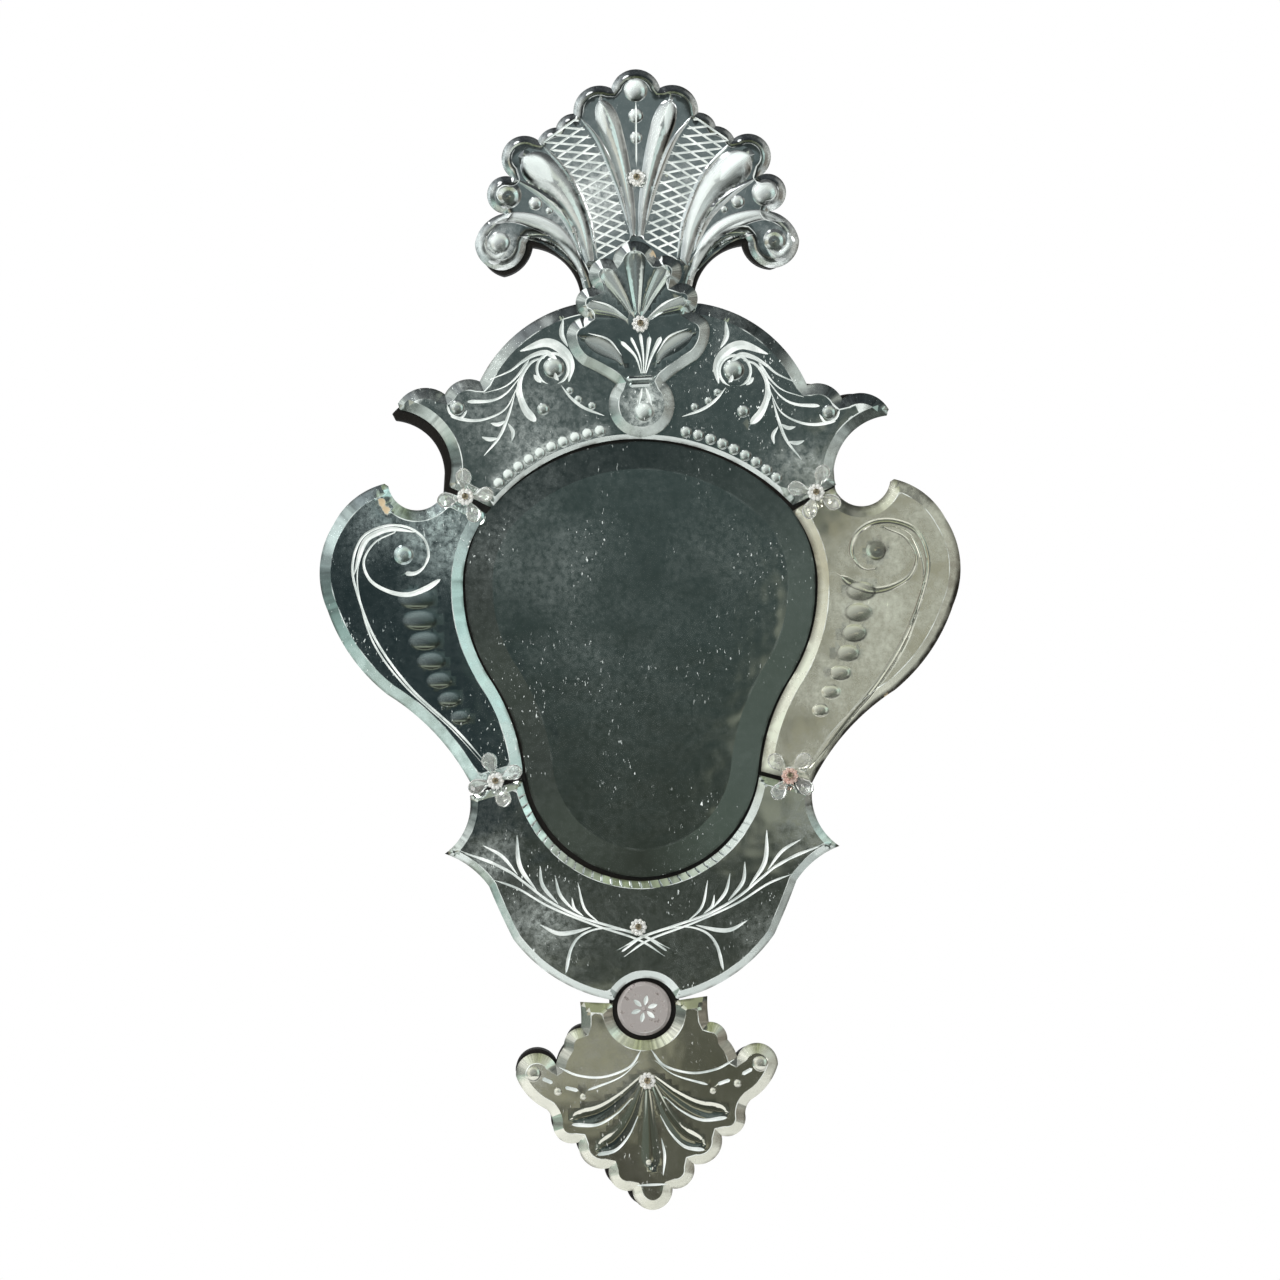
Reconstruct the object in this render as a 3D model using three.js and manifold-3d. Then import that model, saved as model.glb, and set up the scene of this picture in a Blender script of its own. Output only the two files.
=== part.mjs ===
// A wall mirror of engraved mirror glass: a pear-shaped centre mirror, four border panels,
// a plumed crown, a crest shield, a shell pendant and a round medallion on one wooden backing
// board, held at the joints by clear glass flowers and small rosettes with metal pins.
// Every piece is drawn flat, x to the right, y up and z towards the viewer, and the finished
// drawing is stood up so that the wall is the plane y = 0 and z is up. Millimetres.
import * as THREE from 'three';
import { mergeVertices } from 'three/addons/utils/BufferGeometryUtils.js';
import Module from 'manifold-3d';

const wasm = await Module();
wasm.setup();

// Depths, from the wall forward
const BOARD_THICKNESS = 16;
const AIR = 0.3;
const GLASS = 5;
const PLATE_BACK = BOARD_THICKNESS + AIR;
const PLATE_FRONT = PLATE_BACK + GLASS;
const RELIEF = 2.2;
const LOW_RELIEF = 1.6;
const DEEP_CUT = 1.4;
const CUT = 1.2;
const FINE_CUT = 0.9;
const SHIELD_BACK = PLATE_FRONT + 1;
const SHIELD_FRONT = SHIELD_BACK + GLASS;
const OVER_RELIEF = PLATE_FRONT + RELIEF + AIR;

// Bevels: the width seen from the front, and the glass left at the edge
const PANEL_BEVEL = 9;
const SCALLOP_BEVEL = 6;
const MIRROR_BEVEL = 22;
const BEVEL_EDGE = 2.2;
const MITRE_LIMIT = 2.5;

// The arch over the centre mirror and the medallion that joins apron and pendant
const ARCH_RADIUS = 156;
const ARCH_CENTRE_Y = -187;
const MEDALLION_Y = -487;
const MEDALLION_RADIUS = 21.5;
const MEDALLION_SIDES = 20;
const MEDALLION_BEVEL = 2.5;
const MEDALLION_THICKNESS = GLASS + 1.5;

// Hand mounting: how far each loose plate leans, in degrees, and about which point
const SHIELD_LEAN = { x: 1, y: 60, degrees: 2.2 };
const PENDANT_LEAN = { x: 0, y: MEDALLION_Y, degrees: 2.1 };
const TOP_LEAN = { x: 0, y: ARCH_CENTRE_Y, degrees: -1.2 };
const APRON_LEAN = { x: 0, y: -400, degrees: 0.6 };
const APRON_DROP = 1;

// Fittings
const PETALS = 4;
const PETAL_LENGTH = 19;
const PETAL_WIDTH = 13;
const PETAL_THICKNESS = 5;
const PETAL_RISE_DEGREES = 14;
const HUB_RADIUS = 8;
const BEAD_LIFT = 6.8;
const ROSETTE_RADIUS = 7.5;
const ROSETTE_LOBES = 5;
const ROSETTE_THICKNESS = 3.5;
const PIN_RADIUS = 2.6;
const PIN_HEIGHT = 2;

const PIN_SIDES = 6;

// Carving: the sides of a bead, how far a rib sinks into its plate, how far a cut starts above it
const BEAD_SIDES = 6;
const RIB_SINK = 0.6;
const CUT_START = 0.4;

// The pearls along the arch
const PEARLS = 6;
const PEARL_RADIUS = 5;
const PEARL_CIRCLE = ARCH_RADIUS + 12;
const FIRST_PEARL_DEGREES = 77.5;
const PEARL_PITCH_DEGREES = 4.8;

// How far a straight facet may stray from a round outline, the sag below which a side is
// straight, and the share of the bevel's width that an inset point must keep to the outline
const CHORD_ERROR = 0.65;
const BOARD_CHORD_ERROR = 1.1;
const STRAIGHT_SAG = 0.2;
const INSET_SHARE = 0.96;

// Outlines. Each station is [x, y, sag]: sag is how far the arc to the next station bows
// outward, negative inward. Stations run clockwise as seen from the front. A half outline
// starts and ends on the axis x = 0 and is mirrored.
const CROWN_HALF = [
  [0, 265, 4.2], [19.5, 250, 10.5], [50, 230, 3], [64, 219, 2.5], [78.5, 209, 18],
  [101, 180, 16], [106.5, 150.5, 5], [129.8, 127, 6.8], [107, 105, 5.2], [89, 126, 0],
  [86, 130.5, -9.3], [44, 92, 0], [41, 81, 0], [0, 81, 0],
];

// The top panel's left end is cut lower than its right one, so it is drawn whole.
const TOP = [
  [0, 80, 0], [45, 78, 13.8], [131, 13.5, 6], [159, 3, 8.5], [196.5, -5, 0], [195, -10, -11],
  [153, -55, -0.5], [155, -66, 0], [120.5, -82.5, -13], [0, -31, -15.5], [-120.5, -87.5, 0],
  [-155, -71, -0.5], [-153, -55, -11], [-195, -10, 0], [-196.5, -5, 8.5], [-159, 3, 6],
  [-131, 13.5, 13.8], [-45, 78, 0],
];

const SIDE_RIGHT = [
  [204, -65, 5.7], [245, -97, 8.7], [250.5, -166, 6], [203, -234, -7], [135.5, -309, 0],
  [95.5, -298, 5], [121, -222.5, -5], [142, -153, -6], [122.5, -90, 0], [156, -71, -17.5],
  [201, -67, 0],
];

const APRON_HALF = [
  [0, -384, -23.3], [95, -301, 0], [137, -313, -7], [158, -359, -3.5], [123, -386, 0.5],
  [104.5, -428.5, 9], [25, -479, -4.9], [0, -461.5, 0],
];

const PENDANT_HALF = [
  [0, -25.5, -9.7], [24.8, 5, 0], [51, 7.5, -0.5], [51.3, -13.2, 4.5], [65.5, -28, 1],
  [72.6, -42.2, 14], [105, -49.5, 3.5], [82, -77, -1.2], [77, -88, 7.3], [57.3, -104.6, 8.5],
  [34, -126.3, 7], [16.1, -145.2, 4.6], [0, -161.6, 0],
];

const SHIELD_HALF = [
  [0, 127, 4.1], [17.5, 112.5, 12], [32.5, 91, 11.5], [42, 68, 4], [57.3, 54, 3],
  [45.5, 30, -0.8], [19.5, 13.5, 15.6], [0, -30, 0],
];

const MIRROR_HALF = [
  [0, -33, 14], [121, -87.5, 6], [140, -153, 5], [119, -222.5, -5], [93, -298, 23],
  [0, -382, 0],
];

const BOARD_HALF = [
  [0, 250, 2], [48, 226, 1], [76, 205, 3], [98, 178, 2], [103, 152, 4], [126, 127, 6],
  [107, 101, 5], [84, 124, -9], [46, 87, 0], [45, 76, 14.2], [129, 12, 4], [157, 1, 7],
  [197.5, -9, 0], [195, -14, -11], [156, -57, 0], [157, -72, -17.5], [202, -70, 5.6],
  [243, -99, 8.5], [248.5, -166, 6], [201.5, -232.5, -7], [134, -307, 0], [135, -316, -7],
  [155, -359, -3.5], [121.5, -385, 0.5], [103, -428, 3], [51, -471, 0], [28, -478, 0],
  [28, -484, 0], [49, -484, 0], [49.5, -500, 4],
  [63.5, -515, 1], [71, -529, 13.5], [103.5, -536, 3.5], [80.5, -563, -1.2], [75.5, -575, 6],
  [56, -589.5, 7], [33, -611, 6], [15.5, -630, 4], [0, -645, 0],
];

// The board's right volute is sawn this much higher than its left one
const BOARD_VOLUTE_RISE = 4;
const isRightVolute = (x, y) => x > 105 && y > 100;

// Materials
const mirrorGlass = new THREE.MeshStandardMaterial({ color: 0x5d6a68, roughness: 0.08, metalness: 1 });
const clearGlass = new THREE.MeshStandardMaterial({ color: 0xe9efe9, roughness: 0.05, metalness: 0 });
const blackWood = new THREE.MeshStandardMaterial({ color: 0x17120e, roughness: 0.7, metalness: 0 });
const pinMetal = new THREE.MeshStandardMaterial({ color: 0x9a7f5c, roughness: 0.35, metalness: 1 });

// Outline helpers

function mirrorHalf(half) {
  const last = half.length - 1;
  const right = half.map(([x, y, sag], i) => [x, y, i === last ? half[last - 1][2] : sag]);
  const left = [];
  for (let i = last - 1; i > 0; i--) {
    left.push([-half[i][0], half[i][1], half[i - 1][2]]);
  }
  return [...right, ...left];
}

function mirrorWhole(stations) {
  const count = stations.length;
  return stations.map((_, i) => {
    const [x, y] = stations[count - 1 - i];
    const sag = stations[(2 * count - 2 - i) % count][2];
    return [-x, y, sag];
  });
}

// Walks the stations clockwise and returns the outline's points counter-clockwise.
function traceOutline(stations, chordError = CHORD_ERROR) {
  const points = [];
  stations.forEach(([x, y, sag], i) => {
    const start = new THREE.Vector2(x, y);
    points.push(start);
    if (Math.abs(sag) < STRAIGHT_SAG) return;
    const [endX, endY] = stations[(i + 1) % stations.length];
    const along = new THREE.Vector2(endX - x, endY - y);
    const half = along.length() / 2;
    along.normalize();
    const bow = Math.abs(sag);
    const outward = new THREE.Vector2(-along.y, along.x).multiplyScalar(Math.sign(sag));
    const radius = (half * half + bow * bow) / (2 * bow);
    const sweep = 4 * Math.atan(bow / half);
    const steps = Math.max(2, Math.ceil(sweep / (2 * Math.acos(1 - chordError / radius))));
    for (let k = 1; k < steps; k++) {
      const angle = (k / steps - 0.5) * sweep;
      points.push(start.clone()
        .addScaledVector(along, half + radius * Math.sin(angle))
        .addScaledVector(outward, radius * Math.cos(angle) - radius + bow));
    }
  });
  return points.reverse();
}

function distanceToRing(point, ring) {
  let nearest = Infinity;
  ring.forEach((a, i) => {
    const b = ring[(i + 1) % ring.length];
    const edge = b.clone().sub(a);
    const t = THREE.MathUtils.clamp(point.clone().sub(a).dot(edge) / edge.lengthSq(), 0, 1);
    nearest = Math.min(nearest, a.clone().addScaledVector(edge, t).distanceTo(point));
  });
  return nearest;
}

function inwardNormal(a, b) {
  return new THREE.Vector2(a.y - b.y, b.x - a.x).normalize();
}

// The ring moved inward by width. A point that would land too near another edge is null.
function insetRing(ring, width) {
  return ring.map((point, i) => {
    const fromBefore = inwardNormal(ring.at(i - 1), point);
    const toAfter = inwardNormal(point, ring[(i + 1) % ring.length]);
    const bisector = fromBefore.clone().add(toAfter).normalize();
    const convex = fromBefore.cross(toAfter) > 0;
    const mitre = convex ? Math.min(MITRE_LIMIT, 1 / bisector.dot(fromBefore)) : 1;
    const moved = point.clone().addScaledVector(bisector, mitre * width);
    return distanceToRing(moved, ring) > INSET_SHARE * width ? moved : null;
  });
}

// Solid helpers

function facetGeometry(corners, faces) {
  const geometry = new THREE.BufferGeometry().setFromPoints(corners);
  geometry.setIndex(faces);
  return geometry;
}

function flatten(ring, z) {
  return ring.map((p) => new THREE.Vector3(p.x, p.y, z));
}

// A plate cut to the outline, with a bevel that falls from the front face to a thin edge.
function bevelledPlate(ring, bevel, thickness = GLASS, edge = BEVEL_EDGE) {
  const count = ring.length;
  const moved = insetRing(ring, bevel);
  const inner = moved.filter(Boolean);
  const kept = [];
  moved.forEach((p, i) => {
    if (p) kept.push(i);
  });
  const stepsApart = (i, j) => Math.min(Math.abs(i - j), count - Math.abs(i - j));
  const innerOf = moved.map((p, i) => {
    const nearest = kept.reduce((best, j) => (stepsApart(i, j) < stepsApart(i, best) ? j : best));
    return 2 * count + kept.indexOf(nearest);
  });
  const corners = [...flatten(ring, 0), ...flatten(ring, edge), ...flatten(inner, thickness)];
  const faces = [];
  THREE.ShapeUtils.triangulateShape(ring, []).forEach(([a, b, c]) => faces.push(a, c, b));
  THREE.ShapeUtils.triangulateShape(inner, []).forEach((t) => faces.push(...t.map((v) => v + 2 * count)));
  for (let i = 0; i < count; i++) {
    const next = (i + 1) % count;
    faces.push(i, next, count + next, i, count + next, count + i);
    faces.push(count + i, count + next, innerOf[next]);
    if (innerOf[i] !== innerOf[next]) faces.push(count + i, innerOf[next], innerOf[i]);
  }
  return facetGeometry(corners, faces);
}

function toSolid(geometry) {
  const bare = geometry.clone();
  bare.deleteAttribute('normal');
  bare.deleteAttribute('uv');
  const merged = mergeVertices(bare, 1e-4);
  return new wasm.Manifold(new wasm.Mesh({
    numProp: 3,
    vertProperties: Float32Array.from(merged.attributes.position.array),
    triVerts: Uint32Array.from(merged.index.array),
  }));
}

function toGeometry(solid) {
  const mesh = solid.getMesh();
  const geometry = new THREE.BufferGeometry();
  geometry.setAttribute('position', new THREE.BufferAttribute(mesh.vertProperties, 3));
  geometry.setIndex(new THREE.BufferAttribute(mesh.triVerts, 1));
  geometry.computeVertexNormals();
  return geometry;
}

const join = (solid, others) => others.reduce((made, other) => made.add(other), solid);
const cut = (solid, others) => others.reduce((made, other) => made.subtract(other), solid);

// A solid swept through sections that have the same number of corners, capped at both ends.
function sweptSolid(sections) {
  const sides = sections[0].length;
  const faces = [];
  for (let s = 0; s + 1 < sections.length; s++) {
    for (let k = 0; k < sides; k++) {
      const a = s * sides + k;
      const b = s * sides + ((k + 1) % sides);
      faces.push(a, b, b + sides, a, b + sides, a + sides);
    }
  }
  const lastRow = (sections.length - 1) * sides;
  for (let k = 1; k + 1 < sides; k++) {
    faces.push(0, k + 1, k, lastRow, lastRow + k, lastRow + k + 1);
  }
  return toSolid(facetGeometry(sections.flat(), faces));
}

// Sections across a smooth line through the points: profile(t) gives half width and height,
// and corners(half, height) lists the section as [across, up] pairs.
function alongLine(points, steps, front, profile, corners) {
  const curve = new THREE.SplineCurve(points.map(([x, y]) => new THREE.Vector2(x, y)));
  const sections = [];
  for (let s = 0; s <= steps; s++) {
    const t = s / steps;
    const place = curve.getPointAt(t);
    const tangent = curve.getTangentAt(t);
    const { half, height } = profile(t);
    sections.push(corners(half, height).map(([across, up]) => new THREE.Vector3(
      place.x - tangent.y * across, place.y + tangent.x * across, front + up)));
  }
  return sweptSolid(sections);
}

// A carved stroke: a V-shaped cut, widest in the middle, running out to a point at both ends.
function stroke(points, width, depth, { steps = 4, front = GLASS } = {}) {
  const profile = (t) => {
    const swell = 0.12 + 0.88 * Math.sin(Math.PI * t) ** 0.7;
    return { half: 0.5 * width * swell, height: depth * swell };
  };
  const vee = (half, height) => [[-half, CUT_START], [0, -height], [half, CUT_START]];
  return alongLine(points, steps, front, profile, vee);
}

// A raised rib that grows from a thin tail into a rounded head, like a plume or a gadroon.
function plume(points, width, height, { steps = 4, front = GLASS, tail = 0.25 } = {}) {
  const profile = (t) => {
    const grow = tail + (1 - tail) * t;
    const round = Math.sqrt(Math.max(0.03, 1 - Math.max(0, (t - 0.75) / 0.25) ** 2));
    return { half: 0.5 * width * grow * round, height: height * (0.4 + 0.6 * t) * round };
  };
  const ridge = (half, rise) => [[-half, -RIB_SINK], [half, -RIB_SINK], [0, rise]];
  return alongLine(points, steps, front, profile, ridge);
}

// A solid turned about the z axis from a profile of [radius, height] pairs.
function turnedSolid(profile, sides, x = 0, y = 0, z = 0) {
  const turned = new THREE.LatheGeometry(profile.map(([r, h]) => new THREE.Vector2(r, h)), sides);
  return toSolid(turned.rotateX(Math.PI / 2).translate(x, y, z));
}

function bead(x, y, radius, height, front = GLASS) {
  const profile = [[0, -RIB_SINK], [radius, -RIB_SINK], [0.65 * radius, 0.75 * height], [0, height]];
  return turnedSolid(profile, BEAD_SIDES, x, y, front);
}

const bothSides = (make) => [1, -1].flatMap((side) => make(side));
const flip = (points, side) => points.map(([x, y]) => [side * x, y]);

// The glass plates

function crown() {
  const plate = toSolid(bevelledPlate(traceOutline(mirrorHalf(CROWN_HALF)), SCALLOP_BEVEL));
  const fanInner = new THREE.LineCurve(new THREE.Vector2(9, 137), new THREE.Vector2(41, 219));
  const fanOuter = new THREE.LineCurve(new THREE.Vector2(29, 126), new THREE.Vector2(67, 197));
  const rows = 4;
  const lattice = bothSides((side) => {
    const lines = [];
    for (let k = 0; k + 1 <= rows; k++) {
      const low = k / rows;
      const high = (k + 1) / rows;
      lines.push([fanInner.getPoint(low), fanOuter.getPoint(high)]);
      lines.push([fanInner.getPoint(high), fanOuter.getPoint(low)]);
    }
    return lines.map((ends) => {
      const line = flip(ends.map((p) => [p.x, p.y]), side);
      return stroke(line, 2.6, FINE_CUT, { steps: 2 });
    });
  });
  const plumes = bothSides((side) => [
    plume(flip([[5, 139], [9, 168], [17, 202], [30, 238]], side), 13, RELIEF),
    plume(flip([[40, 115], [47, 143], [63, 169], [90, 194]], side), 21, RELIEF),
    plume(flip([[50, 112], [58, 131], [76, 145], [103, 146]], side), 10, RELIEF, { tail: 0.5 }),
    bead(side * 112, 126, 11, RELIEF),
    bead(side * 104, 165, 8, RELIEF),
  ]);
  const string = [bead(0, 246, 9, RELIEF), bead(0, 225, 5.5, LOW_RELIEF)];
  return join(cut(plate, lattice), [...plumes, ...string]);
}

function topPanel() {
  const plate = toSolid(bevelledPlate(traceOutline(TOP), PANEL_BEVEL));
  const carving = bothSides((side) => [
    stroke(flip([[59, 14], [58, 30], [68, 43], [99, 41]], side), 6, DEEP_CUT, { steps: 6 }),
    stroke(flip([[66, 38], [90, 34], [107, 21], [126, 12]], side), 4.5, CUT),
    stroke(flip([[96, 25], [106, 10], [120, 1], [141, -3]], side), 4.5, CUT),
    stroke(flip([[98, 16], [107, -2], [124, -14], [150, -17]], side), 5, CUT),
    stroke(flip([[94, 27], [100, 12], [97, -4], [84, -19]], side), 6, DEEP_CUT),
    stroke(flip([[61, 42], [66, 51], [66, 64]], side), 4, CUT, { steps: 3 }),
  ]);
  const volutes = bothSides((side) => [
    bead(side * 73, 23, 8.5, LOW_RELIEF),
    bead(side * 82, -8, 5, LOW_RELIEF),
  ]);
  const pearlRow = bothSides((side) => {
    const row = [];
    for (let k = 0; k < PEARLS; k++) {
      const angle = THREE.MathUtils.degToRad(FIRST_PEARL_DEGREES - PEARL_PITCH_DEGREES * k);
      const x = side * PEARL_CIRCLE * Math.cos(angle);
      const y = ARCH_CENTRE_Y + PEARL_CIRCLE * Math.sin(angle);
      row.push(bead(x, y, PEARL_RADIUS, LOW_RELIEF));
    }
    return row;
  });
  return join(cut(plate, carving), [...volutes, ...pearlRow]);
}

function sidePanel(side) {
  const stations = side > 0 ? SIDE_RIGHT : mirrorWhole(SIDE_RIGHT);
  const plate = toSolid(bevelledPlate(traceOutline(stations), PANEL_BEVEL));
  const outerScroll = [
    [140, -288], [168, -250], [198, -216], [219, -178], [229, -142], [222, -110], [200, -100],
    [178, -107], [171, -122], [187, -136],
  ];
  const innerScroll = [[200, -106], [217, -118], [218, -138], [205, -151], [185, -153], [162, -143]];
  const scroll = [
    stroke(flip(outerScroll, side), 5, DEEP_CUT, { steps: 13 }),
    stroke(flip(innerScroll, side), 4.5, CUT, { steps: 7 }),
  ];
  const lobes = [bead(side * 190, -124, 7.5, LOW_RELIEF)];
  const gadroons = 7;
  for (let k = 0; k < gadroons; k++) {
    const down = k / (gadroons - 1);
    const headX = 163 - 24 * down ** 1.3;
    const headY = -160 - 92 * down;
    const length = 34 - 18 * down;
    const line = [[headX + length, headY - 3], [headX + 0.5 * length, headY - 2], [headX, headY]];
    lobes.push(plume(flip(line, side), 13 - 3 * down, LOW_RELIEF, { tail: 0.15 }));
  }
  return join(cut(plate, scroll), lobes);
}

function apron() {
  const plate = toSolid(bevelledPlate(traceOutline(mirrorHalf(APRON_HALF)), PANEL_BEVEL));
  const leaves = 5;
  const carving = bothSides((side) => {
    const stem = [[-18, -439], [20, -422], [60, -408], [103, -378], [138, -361]];
    const strokes = [
      stroke(flip(stem, side), 3.4, CUT, { steps: 6 }),
      stroke(flip([[42, -420], [62, -426], [84, -417]], side), 5, CUT, { steps: 3 }),
      stroke(flip([[30, -421], [54, -429], [63, -455]], side), 4.5, CUT),
      stroke(flip([[70, -402], [95, -388], [121, -380]], side), 4, CUT, { steps: 3 }),
    ];
    for (let k = 0; k < leaves; k++) {
      const x = 38 + 17 * k;
      const y = -413 + 8.2 * k + 0.6 * k * k;
      const tip = 26 + 2 * k;
      const leaf = [[x, y], [x + 0.45 * tip, y + 0.35 * tip], [x + 0.6 * tip, y + tip]];
      strokes.push(stroke(flip(leaf, side), 5, CUT, { steps: 3 }));
    }
    return strokes;
  });
  return cut(plate, carving);
}

function pendant() {
  const plate = toSolid(bevelledPlate(traceOutline(mirrorHalf(PENDANT_HALF)), SCALLOP_BEVEL));
  const flutes = [
    plume([[0, -69], [0, -96], [0, -126]], 16, RELIEF),
    ...bothSides((side) => [
      plume(flip([[8, -68], [15, -94], [31, -114]], side), 12, RELIEF),
      plume(flip([[10, -64], [26, -84], [51, -98]], side), 12, RELIEF),
      plume(flip([[11, -58], [33, -72], [64, -81]], side), 11, RELIEF),
      bead(side * 91, -47, 7, LOW_RELIEF),
    ]),
  ];
  return join(plate, flutes);
}

function shield() {
  const plate = toSolid(bevelledPlate(traceOutline(mirrorHalf(SHIELD_HALF)), SCALLOP_BEVEL));
  const petals = [
    plume([[0, 71], [0, 92], [0, 114]], 15, RELIEF),
    ...bothSides((side) => [
      plume(flip([[7, 71], [15, 87], [24, 103]], side), 11, RELIEF),
      plume(flip([[10, 65], [24, 72], [38, 77]], side), 11, RELIEF),
      plume(flip([[11, 24], [20, 38], [41, 48]], side), 14, RELIEF),
    ]),
    bead(0, -11, 7, LOW_RELIEF),
  ];
  const sprays = bothSides((side) => [
    stroke(flip([[2, 21], [5, 36], [12, 48]], side), 5, CUT, { steps: 3 }),
  ]);
  const collar = [12, 16.5].map((y) => {
    const ring = [[-11, y], [0, y], [11, y]];
    return plume(ring, 3.4, LOW_RELIEF, { steps: 2, tail: 1 });
  });
  return join(cut(plate, sprays), [...petals, ...collar]);
}

function centreMirror() {
  return toSolid(bevelledPlate(traceOutline(mirrorHalf(MIRROR_HALF)), MIRROR_BEVEL));
}

function medallion() {
  const rim = Array.from({ length: MEDALLION_SIDES }, (_, i) => {
    const angle = (2 * Math.PI * i) / MEDALLION_SIDES;
    return new THREE.Vector2(MEDALLION_RADIUS * Math.cos(angle), MEDALLION_RADIUS * Math.sin(angle));
  });
  const disc = toSolid(bevelledPlate(rim, MEDALLION_BEVEL, MEDALLION_THICKNESS, GLASS));
  const petals = 6;
  const flower = Array.from({ length: petals }, (_, i) => {
    const angle = (2 * Math.PI * (i + 0.5)) / petals;
    const ends = [2.5, 9].map((r) => [r * Math.cos(angle), r * Math.sin(angle)]);
    return stroke(ends, 4, FINE_CUT, { steps: 2, front: MEDALLION_THICKNESS });
  });
  return cut(disc, flower);
}

// The backing board

function backingBoard() {
  const stations = mirrorHalf(BOARD_HALF).map(([x, y, sag]) => {
    const rise = isRightVolute(x, y) ? BOARD_VOLUTE_RISE : 0;
    return [x, y + rise, sag];
  });
  const ring = traceOutline(stations, BOARD_CHORD_ERROR);
  const sawn = { depth: BOARD_THICKNESS, bevelEnabled: false };
  return toSolid(new THREE.ExtrudeGeometry(new THREE.Shape(ring), sawn));
}

// Fittings

function flower() {
  const rise = THREE.MathUtils.degToRad(PETAL_RISE_DEGREES);
  const hub = new THREE.SphereGeometry(HUB_RADIUS, 8, 2);
  hub.rotateX(Math.PI / 2).scale(1, 1, 0.35).translate(0, 0, 0.35 * HUB_RADIUS);
  const petals = Array.from({ length: PETALS }, (_, i) => {
    const petal = new THREE.SphereGeometry(0.5, 6, 3);
    petal.rotateZ(Math.PI / 2).scale(PETAL_LENGTH, PETAL_WIDTH, PETAL_THICKNESS);
    petal.translate(0.5 * PETAL_LENGTH + 5, 0, 0.5 * PETAL_THICKNESS);
    petal.rotateY(-rise).rotateZ((2 * Math.PI * i) / PETALS);
    return toSolid(petal);
  });
  return join(toSolid(hub), petals);
}

function rosette() {
  const points = 2 * ROSETTE_LOBES;
  const ring = Array.from({ length: points }, (_, i) => {
    const angle = (Math.PI * (i + 0.5)) / ROSETTE_LOBES;
    const reach = i % 2 ? ROSETTE_RADIUS : 0.82 * ROSETTE_RADIUS;
    return new THREE.Vector2(reach * Math.cos(angle), reach * Math.sin(angle));
  });
  return toSolid(bevelledPlate(ring, 2, ROSETTE_THICKNESS, 1.6));
}

function pin() {
  const profile = [[0, 0], [PIN_RADIUS, 0], [PIN_RADIUS, 0.6 * PIN_HEIGHT], [0, PIN_HEIGHT]];
  return turnedSolid(profile, PIN_SIDES);
}

// Assembly

const mirror = new THREE.Group();
mirror.rotation.x = Math.PI / 2;

function place(name, solid, material, { x = 0, y = 0, z = PLATE_BACK, degrees = 0 } = {}) {
  const mesh = new THREE.Mesh(toGeometry(solid), material);
  mesh.name = name;
  mesh.position.set(x, y, z);
  mesh.rotation.z = THREE.MathUtils.degToRad(degrees);
  mirror.add(mesh);
}

// Turns a plate drawn in the mirror's own coordinates about a point of the drawing.
function leaning({ x, y, degrees }) {
  const pivot = new THREE.Vector2(x, y);
  const turned = pivot.clone().rotateAround(new THREE.Vector2(), THREE.MathUtils.degToRad(degrees));
  return { x: pivot.x - turned.x, y: pivot.y - turned.y, degrees };
}

place('backing_board', backingBoard(), blackWood, { z: 0 });
place('centre_mirror', centreMirror(), mirrorGlass);
place('top_panel', topPanel(), mirrorGlass, leaning(TOP_LEAN));
place('left_side_panel', sidePanel(-1), mirrorGlass);
place('right_side_panel', sidePanel(1), mirrorGlass);
const apronPlace = leaning(APRON_LEAN);
place('apron_panel', apron(), mirrorGlass, { ...apronPlace, y: apronPlace.y - APRON_DROP });
place('crown_plume', crown(), mirrorGlass);
place('crest_shield', shield(), mirrorGlass, { ...leaning(SHIELD_LEAN), z: SHIELD_BACK });
place('pendant_shell', pendant(), mirrorGlass, { y: MEDALLION_Y, degrees: PENDANT_LEAN.degrees });
place('round_medallion', medallion(), mirrorGlass, { y: MEDALLION_Y });

const flowers = [
  ['upper_left', -139, -76, 15], ['upper_right', 141, -75, 65],
  ['lower_left', -117, -303, 20], ['lower_right', 118, -301, 45],
];
for (const [where, x, y, degrees] of flowers) {
  const z = PLATE_FRONT + AIR;
  const beadZ = z + BEAD_LIFT;
  place(`flower_${where}`, flower(), clearGlass, { x, y, z, degrees });
  place(`flower_bead_${where}`, rosette(), clearGlass, { x, y, z: beadZ });
  place(`flower_pin_${where}`, pin(), pinMetal, { x, y, z: beadZ + ROSETTE_THICKNESS + AIR });
}

const rosettes = [
  ['crown', 0, 178, OVER_RELIEF], ['shield', 2, 61, SHIELD_FRONT + AIR],
  ['apron', -4, -421, PLATE_FRONT + AIR], ['pendant', 2, -544, PLATE_FRONT + AIR],
];
for (const [where, x, y, z] of rosettes) {
  place(`rosette_${where}`, rosette(), clearGlass, { x, y, z });
  place(`rosette_pin_${where}`, pin(), pinMetal, { x, y, z: z + ROSETTE_THICKNESS + AIR });
}

export default mirror;
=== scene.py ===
import math

import bpy
import numpy as np
from mathutils import Matrix, Vector
from mathutils.geometry import delaunay_2d_cdt


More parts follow.
